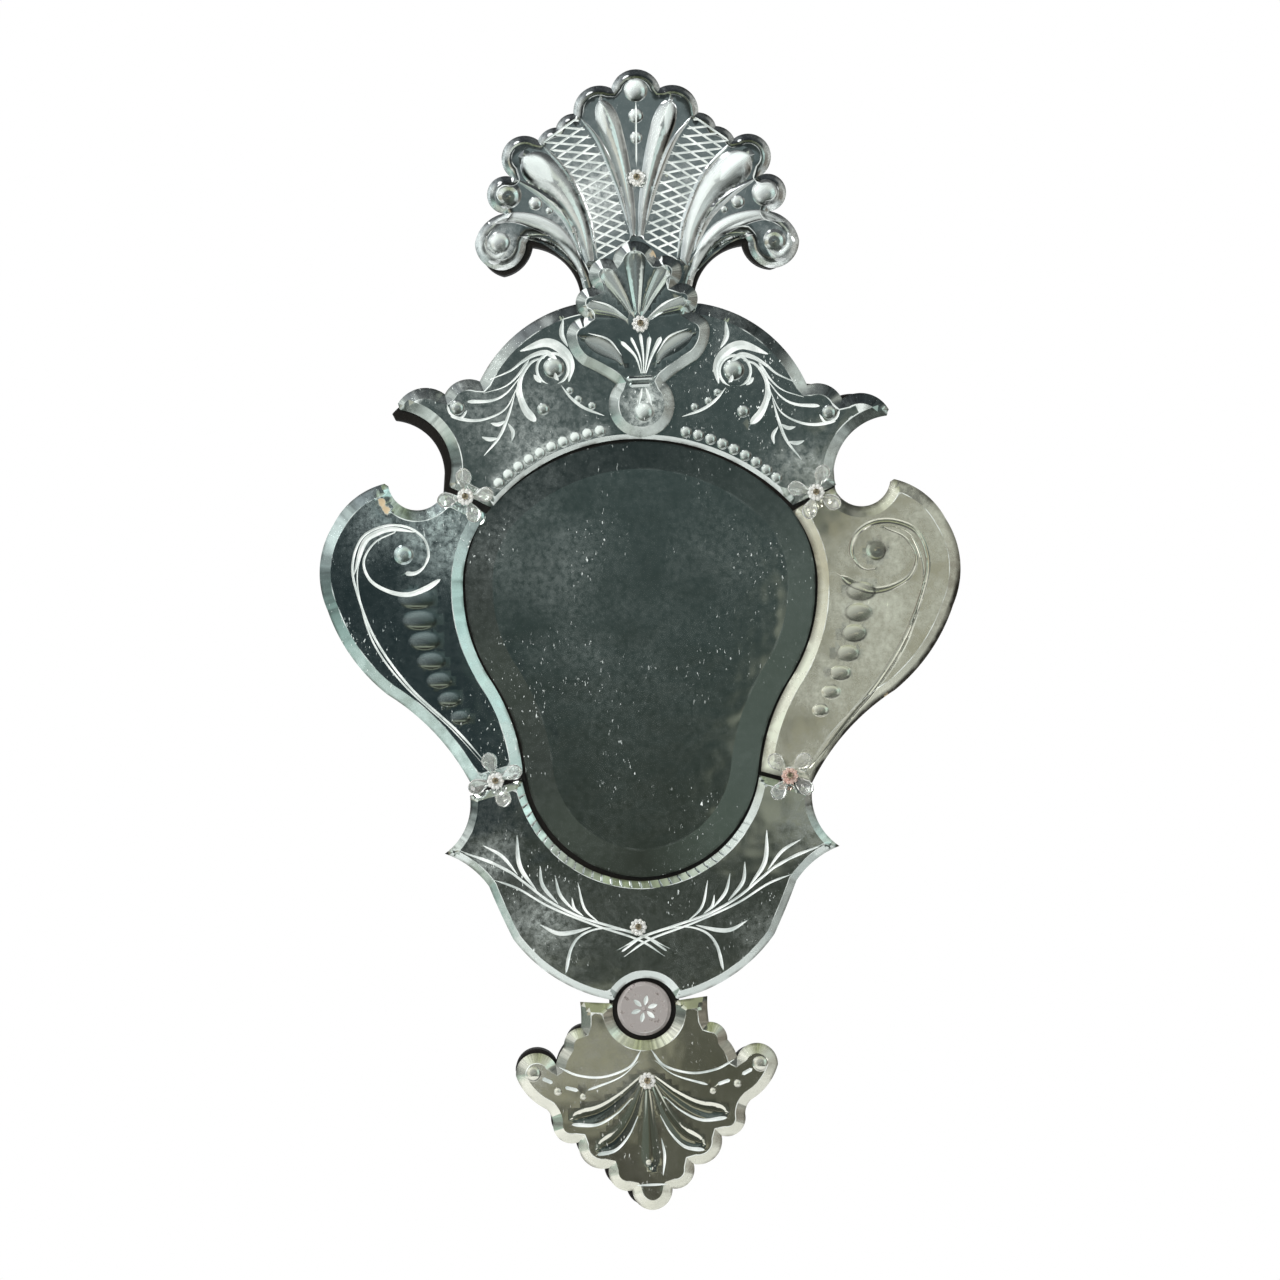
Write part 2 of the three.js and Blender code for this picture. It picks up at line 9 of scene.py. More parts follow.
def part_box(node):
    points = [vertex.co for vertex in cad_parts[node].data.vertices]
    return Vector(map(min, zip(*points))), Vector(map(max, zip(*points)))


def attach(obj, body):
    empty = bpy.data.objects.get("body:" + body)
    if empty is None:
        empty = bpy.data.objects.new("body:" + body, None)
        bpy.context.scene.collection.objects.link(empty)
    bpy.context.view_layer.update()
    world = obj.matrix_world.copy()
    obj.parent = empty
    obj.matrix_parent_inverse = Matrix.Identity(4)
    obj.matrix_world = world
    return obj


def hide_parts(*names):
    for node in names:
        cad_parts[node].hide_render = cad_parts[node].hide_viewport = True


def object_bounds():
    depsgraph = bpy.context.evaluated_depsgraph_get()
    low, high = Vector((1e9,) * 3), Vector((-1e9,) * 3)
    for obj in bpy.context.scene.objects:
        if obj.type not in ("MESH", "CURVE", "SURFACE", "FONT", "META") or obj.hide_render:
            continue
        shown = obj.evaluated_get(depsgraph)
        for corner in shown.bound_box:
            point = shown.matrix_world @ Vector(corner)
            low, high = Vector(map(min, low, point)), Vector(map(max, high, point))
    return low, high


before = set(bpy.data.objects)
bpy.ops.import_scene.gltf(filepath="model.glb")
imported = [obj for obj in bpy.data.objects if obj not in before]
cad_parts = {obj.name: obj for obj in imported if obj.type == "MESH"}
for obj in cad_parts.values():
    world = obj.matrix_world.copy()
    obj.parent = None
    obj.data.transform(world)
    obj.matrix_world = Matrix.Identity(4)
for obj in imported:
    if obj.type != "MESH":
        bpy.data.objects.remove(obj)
cad_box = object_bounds()

# Every piece is drawn in millimetres, x to the right, z up and depth forward from the wall,
# and is turned into metres, facing -Y, when its mesh is made.
MM = 0.001
GLASS = 5.0
BEVEL_EDGE = 2.2
PANEL_BEVEL = 9.0
SCALLOP_BEVEL = 8.0
CROWN_BEVEL = 8.0
MIRROR_BEVEL = 22.0
ARCH_BEVEL = 3.6
ARCH_MARGIN = 3.0
APRON_BEVEL = 6.0
APRON_EDGE = GLASS - (GLASS - BEVEL_EDGE) * APRON_BEVEL / PANEL_BEVEL
BOARD_THICKNESS = 16.0
BOARD_ROUNDING = 1.2
OUTLINE_STEP = 1.1
CUT_STEP = 1.2
LOBE_STEP = 2.0
FLAT_GRID = 5.0
MITRE_LIMIT = 2.5
CREASE = math.radians(15)
MIRROR_CREASE = math.radians(4)
PIN_CREASE = math.radians(40)
INSET_SHARE = 0.985
MERGE = 0.02
FROST_DEPTH = 0.02
GRID_MARGIN = 2.0
RIM_TOLERANCE = 0.05
STRAIGHT_BOW = 0.2
BEVEL_STEPS = (0.5,)
ROUNDED_STEPS = (0.25, 0.5, 0.75)

ARCH_RADIUS = 156.0
ARCH_CENTRE_Z = -187.0
APRON_ARC_CENTRE_Z = -288.0
APRON_ARC_RADIUS = 96.0
MEDALLION_Z = -487.0
MEDALLION_RADIUS = 21.5
MEDALLION_BEVEL = 2.5
MEDALLION_RISE = 1.5

# How far each loose plate leans, in degrees, about which point, and how far it drops
SHIELD_LEAN = (1, 60, 2.2, 0)
PENDANT_LEAN = (0, MEDALLION_Z, 2.1, 0)
TOP_LEAN = (0, ARCH_CENTRE_Z, -1.2, 0)
APRON_LEAN = (0, -400, 0.6, 1)
NO_LEAN = (0, 0, 0, 0)

# Outlines as stations [x, z, sag], clockwise from the front: sag is how far the arc to the
# next station bows outward. A half outline runs from axis to axis and is mirrored.
CROWN_HALF = [
    (0, 265, 4.2), (19.5, 250, 10.5), (50, 230, 3), (64, 219, 2.5), (78.5, 209, 18),
    (101, 180, 16), (106.5, 150.5, 5), (129.8, 127, 6.8), (107, 105, 5.2), (89, 126, 0),
    (86, 130.5, -9.3), (44, 92, 0), (41, 81, 0), (0, 81, 0),
]
# The top panel's left end is cut lower than its right one, so it is drawn whole.
TOP = [
    (0, 80, 0), (45, 78, 13.8), (131, 13.5, 6), (159, 3, 8.5), (196.5, -5, 0), (195, -10, -11),
    (153, -55, -0.5), (155, -66, 0), (120.5, -82.5, -13), (0, -31, -15.5), (-120.5, -87.5, 0),
    (-155, -71, -0.5), (-153, -55, -11), (-195, -10, 0), (-196.5, -5, 8.5), (-159, 3, 6),
    (-131, 13.5, 13.8), (-45, 78, 0),
]
SIDE_RIGHT = [
    (204, -65, 5.7), (245, -97, 8.7), (250.5, -166, 6), (203, -234, -7), (135.5, -309, 0),
    (95.5, -298, 5), (121, -222.5, -5), (142, -153, -6), (122.5, -90, 0), (156, -71, -17.5),
    (201, -67, 0),
]
APRON_HALF = [
    (0, -384, -23.3), (95, -301, 0), (137, -313, -7), (158, -359, -3.5), (123, -386, 0.5),
    (104.5, -428.5, 9), (25, -479, -4.9), (0, -461.5, 0),
]
PENDANT_HALF = [
    (0, -25.5, -9.7), (24.8, 5, 0), (51, 7.5, -0.5), (51.3, -13.2, 4.5), (65.5, -28, 1),
    (72.6, -42.2, 14), (105, -49.5, 3.5), (82, -77, -1.2), (77, -88, 7.3), (57.3, -104.6, 8.5),
    (34, -126.3, 7), (16.1, -145.2, 4.6), (0, -161.6, 0),
]
SHIELD_HALF = [
    (0, 127, 4.1), (17.5, 112.5, 12), (32.5, 91, 11.5), (42, 68, 4), (57.3, 54, 3),
    (45.5, 30, -0.8), (19.5, 13.5, 15.6), (0, -30, 0),
]
MIRROR_HALF = [
    (0, -33, 14), (121, -87.5, 6), (140, -153, 5), (119, -222.5, -5), (93, -298, 23),
    (0, -382, 0),
]
BOARD_HALF = [
    (0, 250, 2), (48, 226, 1), (76, 205, 3), (98, 178, 2), (103, 152, 4), (126, 127, 6),
    (107, 101, 5), (84, 124, -9), (46, 87, 0), (45, 76, 14.2), (129, 12, 4), (157, 1, 7),
    (197.5, -9, 0), (195, -14, -11), (156, -57, 0), (157, -72, -17.5), (202, -70, 5.6),
    (243, -99, 8.5), (248.5, -166, 6), (201.5, -232.5, -7), (134, -307, 0), (135, -316, -7),
    (155, -359, -3.5), (121.5, -385, 0.5), (103, -428, 3), (51, -471, 0), (28, -478, 0),
    (28, -484, 0), (49, -484, 0), (49.5, -500, 4), (63.5, -515, 1), (71, -529, 13.5),
    (103.5, -536, 3.5), (80.5, -563, -1.2), (75.5, -575, 6), (56, -589.5, 7), (33, -611, 6),
    (15.5, -630, 4), (0, -645, 0),
]
# The board's right volute, which lies past this corner, is sawn higher than its left one
BOARD_VOLUTE_CORNER = (105, 100)
BOARD_VOLUTE_RISE = 4


# Outlines

def mirror_half(half):
    last = len(half) - 1
    right = list(half[:last]) + [(half[last][0], half[last][1], half[last - 1][2])]
    left = [(-half[i][0], half[i][1], half[i - 1][2]) for i in range(last - 1, 0, -1)]
    return right + left


def mirror_whole(stations):
    count = len(stations)
    mirrored = []
    for i in range(count):
        x, z, _ = stations[count - 1 - i]
        mirrored.append((-x, z, stations[(2 * count - 2 - i) % count][2]))
    return mirrored


def trace(stations, step=OUTLINE_STEP):
    """The outline's points, counter-clockwise, at most a step apart."""
    runs = []
    for (x, z, sag), (end_x, end_z, _) in zip(stations, stations[1:] + stations[:1]):
        start = np.array((x, z), float)
        chord = np.array((end_x, end_z), float) - start
        half = np.linalg.norm(chord) / 2
        bow = abs(sag)
        if bow < STRAIGHT_BOW:
            count = max(1, math.ceil(2 * half / step))
            runs.append(start + np.outer(np.arange(count) / count, chord))
            continue
        along = chord / (2 * half)
        outward = np.array((-along[1], along[0])) * np.sign(sag)
        radius = (half * half + bow * bow) / (2 * bow)
        sweep = 4 * math.atan(bow / half)
        count = max(2, math.ceil(radius * sweep / step))
        angles = (np.arange(count) / count - 0.5) * sweep
        runs.append(start + np.outer(half + radius * np.sin(angles), along)
                    + np.outer(radius * np.cos(angles) - radius + bow, outward))
    return np.concatenate(runs)[::-1]


def unit(vectors):
    return vectors / np.maximum(np.linalg.norm(vectors, axis=-1, keepdims=True), 1e-9)


def nearest_on_line(points, line):
    """Distance from each point to a polyline, and how far along it the nearest place is."""
    start = line[:-1]
    step = line[1:] - start
    length = np.linalg.norm(step, axis=1)
    travelled = np.concatenate(((0,), np.cumsum(length)))
    best = np.full(len(points), np.inf)
    along = np.zeros(len(points))
    for first, vector, span, before in zip(start, step, length, travelled):
        t = np.clip((points - first) @ vector / max(span * span, 1e-9), 0, 1)
        distance = np.linalg.norm(points - first - np.outer(t, vector), axis=1)
        closer = distance < best
        best[closer] = distance[closer]
        along[closer] = (before + t * span)[closer]
    return best, along / travelled[-1]


def closed(ring):
    return np.vstack((ring, ring[:1]))


def inside(points, ring):
    odd = np.zeros(len(points), bool)
    for (x0, z0), (x1, z1) in zip(ring, np.roll(ring, -1, axis=0)):
        crosses = (z0 > points[:, 1]) != (z1 > points[:, 1])
        if z0 != z1:
            odd ^= crosses & (points[:, 0] < x0 + (points[:, 1] - z0) * (x1 - x0) / (z1 - z0))
    return odd


def moved_in(ring, widths):
    """The ring's points moved inward, each by its own width."""
    def inward(a, b):
        return unit(np.stack((a[:, 1] - b[:, 1], b[:, 0] - a[:, 0]), axis=1))
    before = inward(np.roll(ring, 1, axis=0), ring)
    after = inward(ring, np.roll(ring, -1, axis=0))
    bisector = unit(before + after)
    convex = before[:, 0] * after[:, 1] - before[:, 1] * after[:, 0] > 0
    mitre = np.minimum(MITRE_LIMIT, 1 / np.maximum(0.1, np.sum(bisector * before, axis=1)))
    return ring + bisector * (widths * np.where(convex, mitre, 1))[:, None]


def along_arch(points):
    """Which points of the top panel's outline run along the arch, where the bevel is slim."""
    return np.linalg.norm(points - (0, ARCH_CENTRE_Z), axis=1) < ARCH_RADIUS + ARCH_MARGIN


def from_edge(points, ring, bevel, slim):
    """Distance of each point from the outline, and the same in bevel widths."""
    if not slim.any():
        distance, _ = nearest_on_line(points, closed(ring))
        return distance, distance / bevel
    first = int(np.argmax(slim & ~np.roll(slim, 1)))
    rolled = np.roll(ring, -first, axis=0)
    count = int(slim.sum())
    to_slim, _ = nearest_on_line(points, rolled[:count])
    to_wide, _ = nearest_on_line(points, np.vstack((rolled[count - 1:], rolled[:1])))
    return np.minimum(to_slim, to_wide), np.minimum(to_slim / ARCH_BEVEL, to_wide / bevel)


# Carved lines

def smooth_line(points, step):
    """A smooth line through the points, sampled a step apart."""
    given = np.array(points, float)
    padded = np.vstack((2 * given[0] - given[1], given, 2 * given[-1] - given[-2]))
    runs = []
    for a, b, c, d in zip(padded, padded[1:], padded[2:], padded[3:]):
        count = max(2, math.ceil(np.linalg.norm(c - b) / step))
        t = (np.arange(count) / count)[:, None]
        runs.append(0.5 * (2 * b + (c - a) * t + (2 * a - 5 * b + 4 * c - d) * t ** 2
                           + (3 * b - a - 3 * c + d) * t ** 3))
    return np.concatenate(runs + [given[-1:]])


def across(line):
    """Unit vectors square to the line at each of its points."""
    tangent = unit(np.gradient(line, axis=0))
    return np.stack((-tangent[:, 1], tangent[:, 0]), axis=1)


def fractions_along(line):
    travelled = np.concatenate(((0,), np.cumsum(np.linalg.norm(np.diff(line, axis=0), axis=1))))
    return travelled / travelled[-1]


def rounded_end(t, start):
    """Falls from one to almost nothing, like a quarter circle, after the start."""
    past = np.clip((t - start) / (1 - start), 0, 1)
    return np.sqrt(np.clip(1 - past ** 2, 0.02, 1))


TAPERS = {
    "leaf": lambda t: 0.1 + 0.9 * np.sin(np.pi * t) ** 0.8,
    "line": lambda t: np.clip(np.minimum(t, 1 - t) * 12, 0.25, 1),
    "comma": lambda t: (0.2 + 0.8 * t ** 1.3) * rounded_end(t, 0.86),
    "tail": lambda t: (0.16 + 0.84 * (1 - t) ** 1.6) * rounded_end(1 - t, 0.8),
    "plume": lambda t: (0.22 + 0.78 * t) * rounded_end(t, 0.78),
    "egg": lambda t: np.sin(np.pi * np.clip(t, 0.004, 0.996) ** 1.4) ** 0.55,
    "band": lambda t: np.ones_like(t),
}


# Height across a rib, from its middle at 0 to its edge at 1
SECTIONS = {
    "ridge": lambda share: 1 - share ** 1.4,
    "soft": lambda share: (1 - share ** 2) ** 1.6,
}
# Where points are set across a rib, and round and inside a bead, as shares of the way to its edge
LOBE_SHARES = (-0.85, -0.6, -0.3, 0, 0.3, 0.6, 0.85)
DOME_SHARES = (0.85, 0.7, 0.5, 0.25)
DOME_SIDES = 16


def painted_light_share(offset):
    """How much painted highlight a rib or bead gets: most on its upper left, least on its lower right, where
    its painted shade goes.
    """
    return np.clip(0.5 - 0.55 * offset[:, 0] + 0.75 * offset[:, 1], 0, 1)


class Stroke:
    """A carved line whose width and height change along it by its taper."""

    def __init__(self, points, width, height, taper, step):
        self.line = smooth_line(points, step)
        self.reach = 0.5 * width
        self.height = height
        self.taper = TAPERS[taper]

    def to_edge(self):
        """From each point of the line to the stroke's edge on one side."""
        half = self.reach * self.taper(fractions_along(self.line))
        return across(self.line) * half[:, None]

    def section_at(self, points):
        """How far each point is from the stroke's middle to its edge, and the stroke's height there."""
        distance, along = nearest_on_line(points, self.line)
        swell = self.taper(along)
        return np.clip(distance / (self.reach * swell), 0, 1), self.height * np.sqrt(swell)


class Cut(Stroke):
    """An engraved V-shaped stroke, frosted inside."""
    frosted = True

    def __init__(self, points, width, depth=0.7, taper="leaf"):
        super().__init__(points, width, -depth, taper, CUT_STEP)

    def guides(self):
        edge = self.to_edge()
        return [self.line, self.line + edge, self.line - edge], []

    def rise(self, points):
        share, height = self.section_at(points)
        return height * (1 - share)


class Lobe(Stroke):
    """A polished rib, or a hollow where its height is negative; milky with a painted highlight on its upper
    left, and painted shade at its foot on its lower right.
    """
    frosted = False

    def __init__(self, points, width, height, taper="plume", section="ridge", milk=0.0, grime=0.0):
        super().__init__(points, width, height, taper, LOBE_STEP)
        self.section = SECTIONS[section]
        self.milk = milk
        self.grime = grime

    def guides(self):
        edge = self.to_edge()
        inner = [self.line + share * edge for share in LOBE_SHARES]
        return [self.line + edge, self.line - edge], inner

    def rise(self, points):
        share, height = self.section_at(points)
        return height * self.section(share)

    # Share of painted highlight at each point, most on the rib's upper left
    def painted_light(self, points):
        _, along = nearest_on_line(points, self.line)
        fractions = fractions_along(self.line)
        nearest = np.stack([np.interp(along, fractions, self.line[:, i]) for i in (0, 1)], axis=1)
        return painted_light_share((points - nearest) / self.reach)


class Dome:
    """A bead, pearl or egg, milky with a painted highlight on its upper left and painted shade round its
    foot on its lower right.
    """
    frosted = False

    def __init__(self, x, z, radius, height, milk=0.6, stretch=1.0, grime=0.5):
        self.line = np.array([(x, z)], float)
        self.radii = np.array((radius * stretch, radius))
        self.reach = radius * max(1, stretch)
        self.height = height
        self.milk = milk
        self.grime = grime

    def ring(self, share):
        count = max(DOME_SIDES, int(2 * math.pi * self.reach * share / OUTLINE_STEP))
        angles = np.arange(count + 1) * 2 * math.pi / count
        return self.line + share * self.radii * np.stack((np.cos(angles), np.sin(angles)), axis=1)

    def guides(self):
        return [self.ring(1)], [self.ring(share) for share in DOME_SHARES] + [self.line]

    def rise(self, points):
        offset = (points - self.line) / self.radii
        return self.height * np.clip(1 - np.sum(offset ** 2, axis=1), 0, 1)

    # Share of painted highlight at each point, most on the bead's upper left
    def painted_light(self, points):
        return painted_light_share((points - self.line) / self.radii)


class Side:
    """Draws carving to the right of the axis (sign 1), or mirrored to the left of it (sign -1)."""

    def __init__(self, sign):
        self.sign = sign

    def flip(self, points):
        return [(self.sign * x, z) for x, z in points]

    def pick(self, right, left):
        return right if self.sign > 0 else left

    def cut(self, points, *sizes):
        return Cut(self.flip(points), *sizes)

    # The keywords give a rib's milk with its painted highlight, and its painted shade
    def lobe(self, points, *sizes, **milk_and_painted_light):
        return Lobe(self.flip(points), *sizes, **milk_and_painted_light)

    def dome(self, x, *sizes):
        return Dome(self.sign * x, *sizes)


RIGHT = Side(1)
LEFT = Side(-1)


def both_sides(make):
    return [feature for side in (RIGHT, LEFT) for feature in make(side)]


# Carving of each plate

def crown_carving():
    rows = 13
    slant = 3.3
    inner_edge = smooth_line([(6, 128), (12, 152), (24, 190), (47, 226)], 0.5)
    outer_edge = smooth_line([(32, 112), (37, 143), (51, 177), (74, 207)], 0.5)

    def on_fan(share, crossing):
        """A place in the lattice, by its share of the way up and of the way across."""
        outer = outer_edge[round(share * (len(outer_edge) - 1))]
        inner = inner_edge[round(share * (len(inner_edge) - 1))]
        return outer + crossing * (inner - outer)

    def half(side):
        lattice = []
        for k in range(rows + 1):
            lattice.append(side.cut([on_fan(k / rows, 0), on_fan(k / rows, 1)], 1.7, 0.5, "line"))
        for k in range(1, rows + math.ceil(slant)):
            start = max(0, (k - rows) / slant)
            stop = min(1, k / slant)
            ends = [on_fan((k - slant * crossing) / rows, crossing) for crossing in (start, stop)]
            lattice.append(side.cut(ends, 1.7, 0.5, "line"))
        return lattice + [
            side.lobe([(3, 132), (6, 158), (14, 196), (28, 240)], 22, 3.4, milk=0.2, grime=0.6),
            side.lobe([(24, 212), (27, 226), (29, 238)], 11, 2.2, "egg", "soft", 0.55),
            side.lobe([(7, 140), (15, 172), (29, 206), (45, 227)], 6, 1.6, "leaf"),
            side.lobe([(38, 112), (46, 143), (62, 171), (90, 195)], 33, 4.2,
                      milk=side.pick(0.38, 0.26), grime=side.pick(0.45, 0.9)),
            side.lobe([(66, 174), (77, 185), (91, 195)], 22, 4.0, "egg", "soft", 0.75),
            side.lobe([(32, 114), (39, 146), (54, 180), (76, 206)], 6, 1.8, "leaf"),
            side.lobe([(45, 118), (56, 146), (74, 164), (96, 177)], 9, 2.0, "leaf"),
            side.lobe([(42, 97), (56, 125), (73, 140), (98, 147), (117, 142)], 13, 2.6,
                      "leaf", "ridge", 0.45, 0.6),
            side.lobe([(46, 102), (57, 117), (73, 129), (93, 132)], 9, 1.8, "leaf"),
            side.lobe([(121, 133), (123, 122), (114, 114), (104, 120)], 10, 1.4, "leaf", "soft", 0.4),
            side.dome(110, 127, 9, 1.8, side.pick(0.05, 0.3)),
            side.dome(103, 165, 11, 2.4, side.pick(0.4, 0.04)),
            side.dome(81, 158, 5.5, 1.2, 0.3),
            side.dome(70, 152, 3, 0.7, 0.3),
        ]
    string = [Dome(0, 248, 9.5, 2.0, 0.5), Dome(0, 227.5, 6, 1.3, 0.35), Dome(0, 210, 5, 1.1, 0.3),
              Cut([(0, 238), (0, 188)], 1.4, 0.5, "line")]
    return both_sides(half) + string


LEFT_PEARLS = 10
RIGHT_PEARLS = 9
PEARL_RADIUS = 4.6
PEARL_CIRCLE = ARCH_RADIUS + 9.5
FIRST_PEARL = 12.0
PEARL_PITCH = 3.55


def pearl_places(count):
    """Where a row of pearls stands, from the middle of the arch to the right."""
    angles = np.radians(FIRST_PEARL + PEARL_PITCH * np.arange(count))
    return [(PEARL_CIRCLE * math.sin(a), ARCH_CENTRE_Z + PEARL_CIRCLE * math.cos(a)) for a in angles]


def top_carving():
    turns = np.radians(np.arange(-70, 251, 20))
    swirl = [(73 + 12.5 * math.cos(a), 24 + 12.5 * math.sin(a)) for a in turns]

    def half(side):
        pearls, milk = side.pick((RIGHT_PEARLS, 0.32), (LEFT_PEARLS, 0.7))
        row = [side.dome(x, z, PEARL_RADIUS, 1.1, milk) for x, z in pearl_places(pearls)]
        return row + [
            side.cut([(60, 14), (58, 27), (64, 38), (78, 45), (99, 38)], 7.6, 1.3),
            side.cut(swirl, 2.2, 0.7, "line"),
            side.cut([(70, 32), (78, 37), (88, 35), (98, 29), (107, 22), (123, 15)], 5.4, 1.0, "tail"),
            side.cut([(80, 33), (90, 29), (98, 17), (99, 4), (94, -9), (86, -18)], 7.4, 1.2, "comma"),
            side.cut([(97, 18), (101, 6), (98, -4)], 2.4, 0.6),
            side.cut([(92, 31), (102, 17), (112, 9), (128, 4)], 2.8, 0.7, "tail"),
            side.cut([(99, 17), (110, 4), (122, -2), (141, -3)], 3.4, 0.8, "comma"),
            side.cut([(101, 9), (110, -8), (124, -16), (138, -18), (154, -15)], 3.2, 0.8, "comma"),
            side.cut([(103, 3), (108, -14), (115, -31), (127, -46)], 2.4, 0.6),
            side.cut([(68, 15), (70, 17), (71, 21)], 3.2, 0.6),
            side.cut([(82, 13), (85, 16), (88, 19)], 4.0, 0.6),
            side.cut([(110, -18), (116, -21), (122, -20)], 3.2, 0.6),
            side.cut([(116, -32), (123, -33), (129, -31)], 3.2, 0.6),
            side.cut([(108, -20), (104, -27), (105, -34)], 3.0, 0.6),
            side.cut([(61, 42), (66, 52), (65, 64)], 3.8, 0.9),
            side.cut([(31, -13), (47, -7), (58, 1), (66, 11)], 2.4, 0.6),
            side.dome(41, -5, 3.2, 0.8, 0.3),
            side.dome(52, 0, 3.2, 0.8, 0.3),
            side.dome(59, 7, 3.0, 0.8, 0.3),
            side.dome(80, -8, 5.0, 1.2, 0.25),
            side.dome(72, 25, 8.5, 1.8, 0.3),
            side.dome(149, -8, 6, 1.3, 0.2),
            side.cut([(141, -10), (146, -16), (154, -13), (157, -6)], 1.8, 0.5, "line"),
        ]
    return both_sides(half)


GADROONS = 7


def side_carving(side):
    """A scroll with a bead in its curl, and a row of gadroons that shrink downward."""
    foot = side.pick([(134, -296), (160, -262), (190, -226)], [(124, -290), (148, -263), (185, -228)])
    stem = foot + [(212, -190), (226, -154), (230, -130), (222, -108), (204, -99), (186, -100), (173, -109),
                   (169, -122), (173, -132), (180, -137), (188, -137)]
    stem_shade = [(x + 4, z + 1) for x, z in foot] + [
        (213, -194), (224, -160), (226, -134), (218, -112), (206, -104), (195, -102.5)]
    inner_line = [(196, -104), (212, -112), (221, -127), (216, -142), (202, -151), (186, -154), (171, -149),
                  (160, -142)]
    turn_over = [(229, -138), (221, -113), (210, -104.5), (197, -101.5), (180, -104)]
    curl_end = [(170, -124), (173, -132), (180, -137), (188, -137)]
    if side is LEFT:
        features = [
            side.cut(stem, 1.9, 0.7, "line"),
            side.cut(stem_shade, 1.5, 0.5, "leaf"),
            side.cut(turn_over, 4.4, 0.9),
            side.cut(inner_line, 5.0, 1.0, "comma"),
            side.cut(curl_end, 4.2, 0.8, "comma"),
            side.dome(189, -122, 8, 1.8, 0.22),
        ]
    else:
        features = [
            side.lobe(stem, 4.6, -0.8, "line", grime=0.45),
            side.lobe(stem_shade, 3.0, -0.7, "leaf"),
            side.lobe(inner_line, 8.0, -1.0, "comma", grime=0.45),
            side.dome(189, -122, 8.5, -1.2, 0.08),
        ]
    for k in range(GADROONS):
        down = k / (GADROONS - 1)
        x = 163.5 - 27 * down ** 1.8
        z = -155.5 - 104 * down + 9 * down ** 2
        width = 15.5 - 5.5 * down
        length = 26 - 12 * down
        radius = 0.5 * width + 0.6
        stretch = 0.5 * length / radius
        if side is LEFT:
            height = 0.023 * width
            features.append(side.dome(x + 0.6 * length, z - 2, radius, height, 0.07, 1.25 * stretch, 0.3))
        else:
            features.append(side.dome(x + 0.5 * length, z + 1, radius, 1.2, 0.24, stretch, 0.4))
    return features


def apron_carving():
    notches = 30
    notch_pitch = 4.6
    first_notch = 195
    inner_end = APRON_ARC_RADIUS + 1.2
    outer_end = APRON_ARC_RADIUS + 4.6

    def on_arc(radius, angle):
        return radius * math.cos(angle), APRON_ARC_CENTRE_Z + radius * math.sin(angle)

    def half(side):
        return [
            side.cut([(-20, -438), (0, -428), (25, -420), (52, -411), (76, -398), (95, -383), (112, -371),
                      (145, -357)], 2.0, 0.7, "line"),
            side.cut([(-16, -444), (4, -431), (40, -418), (75, -403), (100, -388), (121, -380)],
                     1.7, 0.5, "line"),
            side.cut([(35, -417), (47, -405), (52, -384)], 2.0, 0.6),
            side.cut([(48, -411), (55, -405), (57, -396)], 2.2, 0.6),
            side.cut([(55, -407), (66, -394), (70, -379)], 2.6, 0.7),
            side.cut([(68, -401), (80, -386), (82, -370)], 3.0, 0.7),
            side.cut([(85, -390), (98, -370), (100, -345)], 3.6, 0.8),
            side.cut([(100, -377), (112, -362), (127, -353)], 2.6, 0.6),
            side.cut([(105, -376), (122, -366), (142, -359)], 2.2, 0.6),
            side.cut([(42, -420), (58, -424), (70, -424), (83, -417)], 3.4, 0.7),
            side.cut([(5, -426), (30, -421), (48, -425), (58, -436), (63, -456)], 3.0, 0.7, "comma"),
            side.cut([(4, -430), (18, -440)], 1.7, 0.5, "line"),
        ]
    rope = []
    for k in range(notches):
        angle = math.radians(first_notch + notch_pitch * k)
        ends = [on_arc(inner_end, angle), on_arc(outer_end, angle + 0.012)]
        rope.append(Lobe(ends, 1.8, -0.5, "band"))
    return both_sides(half) + rope


def shield_carving():
    def half(side):
        return [
            side.lobe([(5, 70), (12, 84), (25, 105)], 16, -1.4, "plume", "soft", side.pick(0.16, 0.3)),
            side.lobe([(9, 64), (20, 71), (40, 77)], 13, -1.3, "plume", "soft", 0.28),
            side.lobe([(13, 28), (21, 38), (43, 51)], 14, -0.5, "egg", "soft", 0.26),
            side.cut([(9, 66), (22, 76), (36, 81)], 1.5, 0.3),
            side.cut([(14, 36), (24, 49), (40, 55)], 1.5, 0.3),
        ]
    spray = [(-14, 47, 3.6), (-6, 50, 2.6), (1.5, 53, 3.0), (9, 50, 3.8), (18, 49, 4.4)]
    strokes = []
    for tip_x, tip_z, width in spray:
        root = 2.5 + 0.12 * tip_x
        strokes.append(Cut([(root, 21), (root + 0.3 * tip_x, 35), (tip_x, tip_z)], width, 0.9, "comma"))
    return both_sides(half) + strokes + [
        Lobe([(0, 70), (0, 95), (0, 119)], 21, -1.4, "plume", "soft", 0.12),
        Lobe([(-11, 17), (0, 17), (11, 17)], 4.2, 1.6, "line"),
        Lobe([(-9, 12), (0, 12), (9, 12)], 4.2, 1.6, "line"),
        Dome(2, -10, 8, 1.8, 0.5),
        Cut([(1, 9), (-3, -5)], 2.6, 0.7),
        Cut([(4, 9), (8, -5)], 2.6, 0.7),
    ]


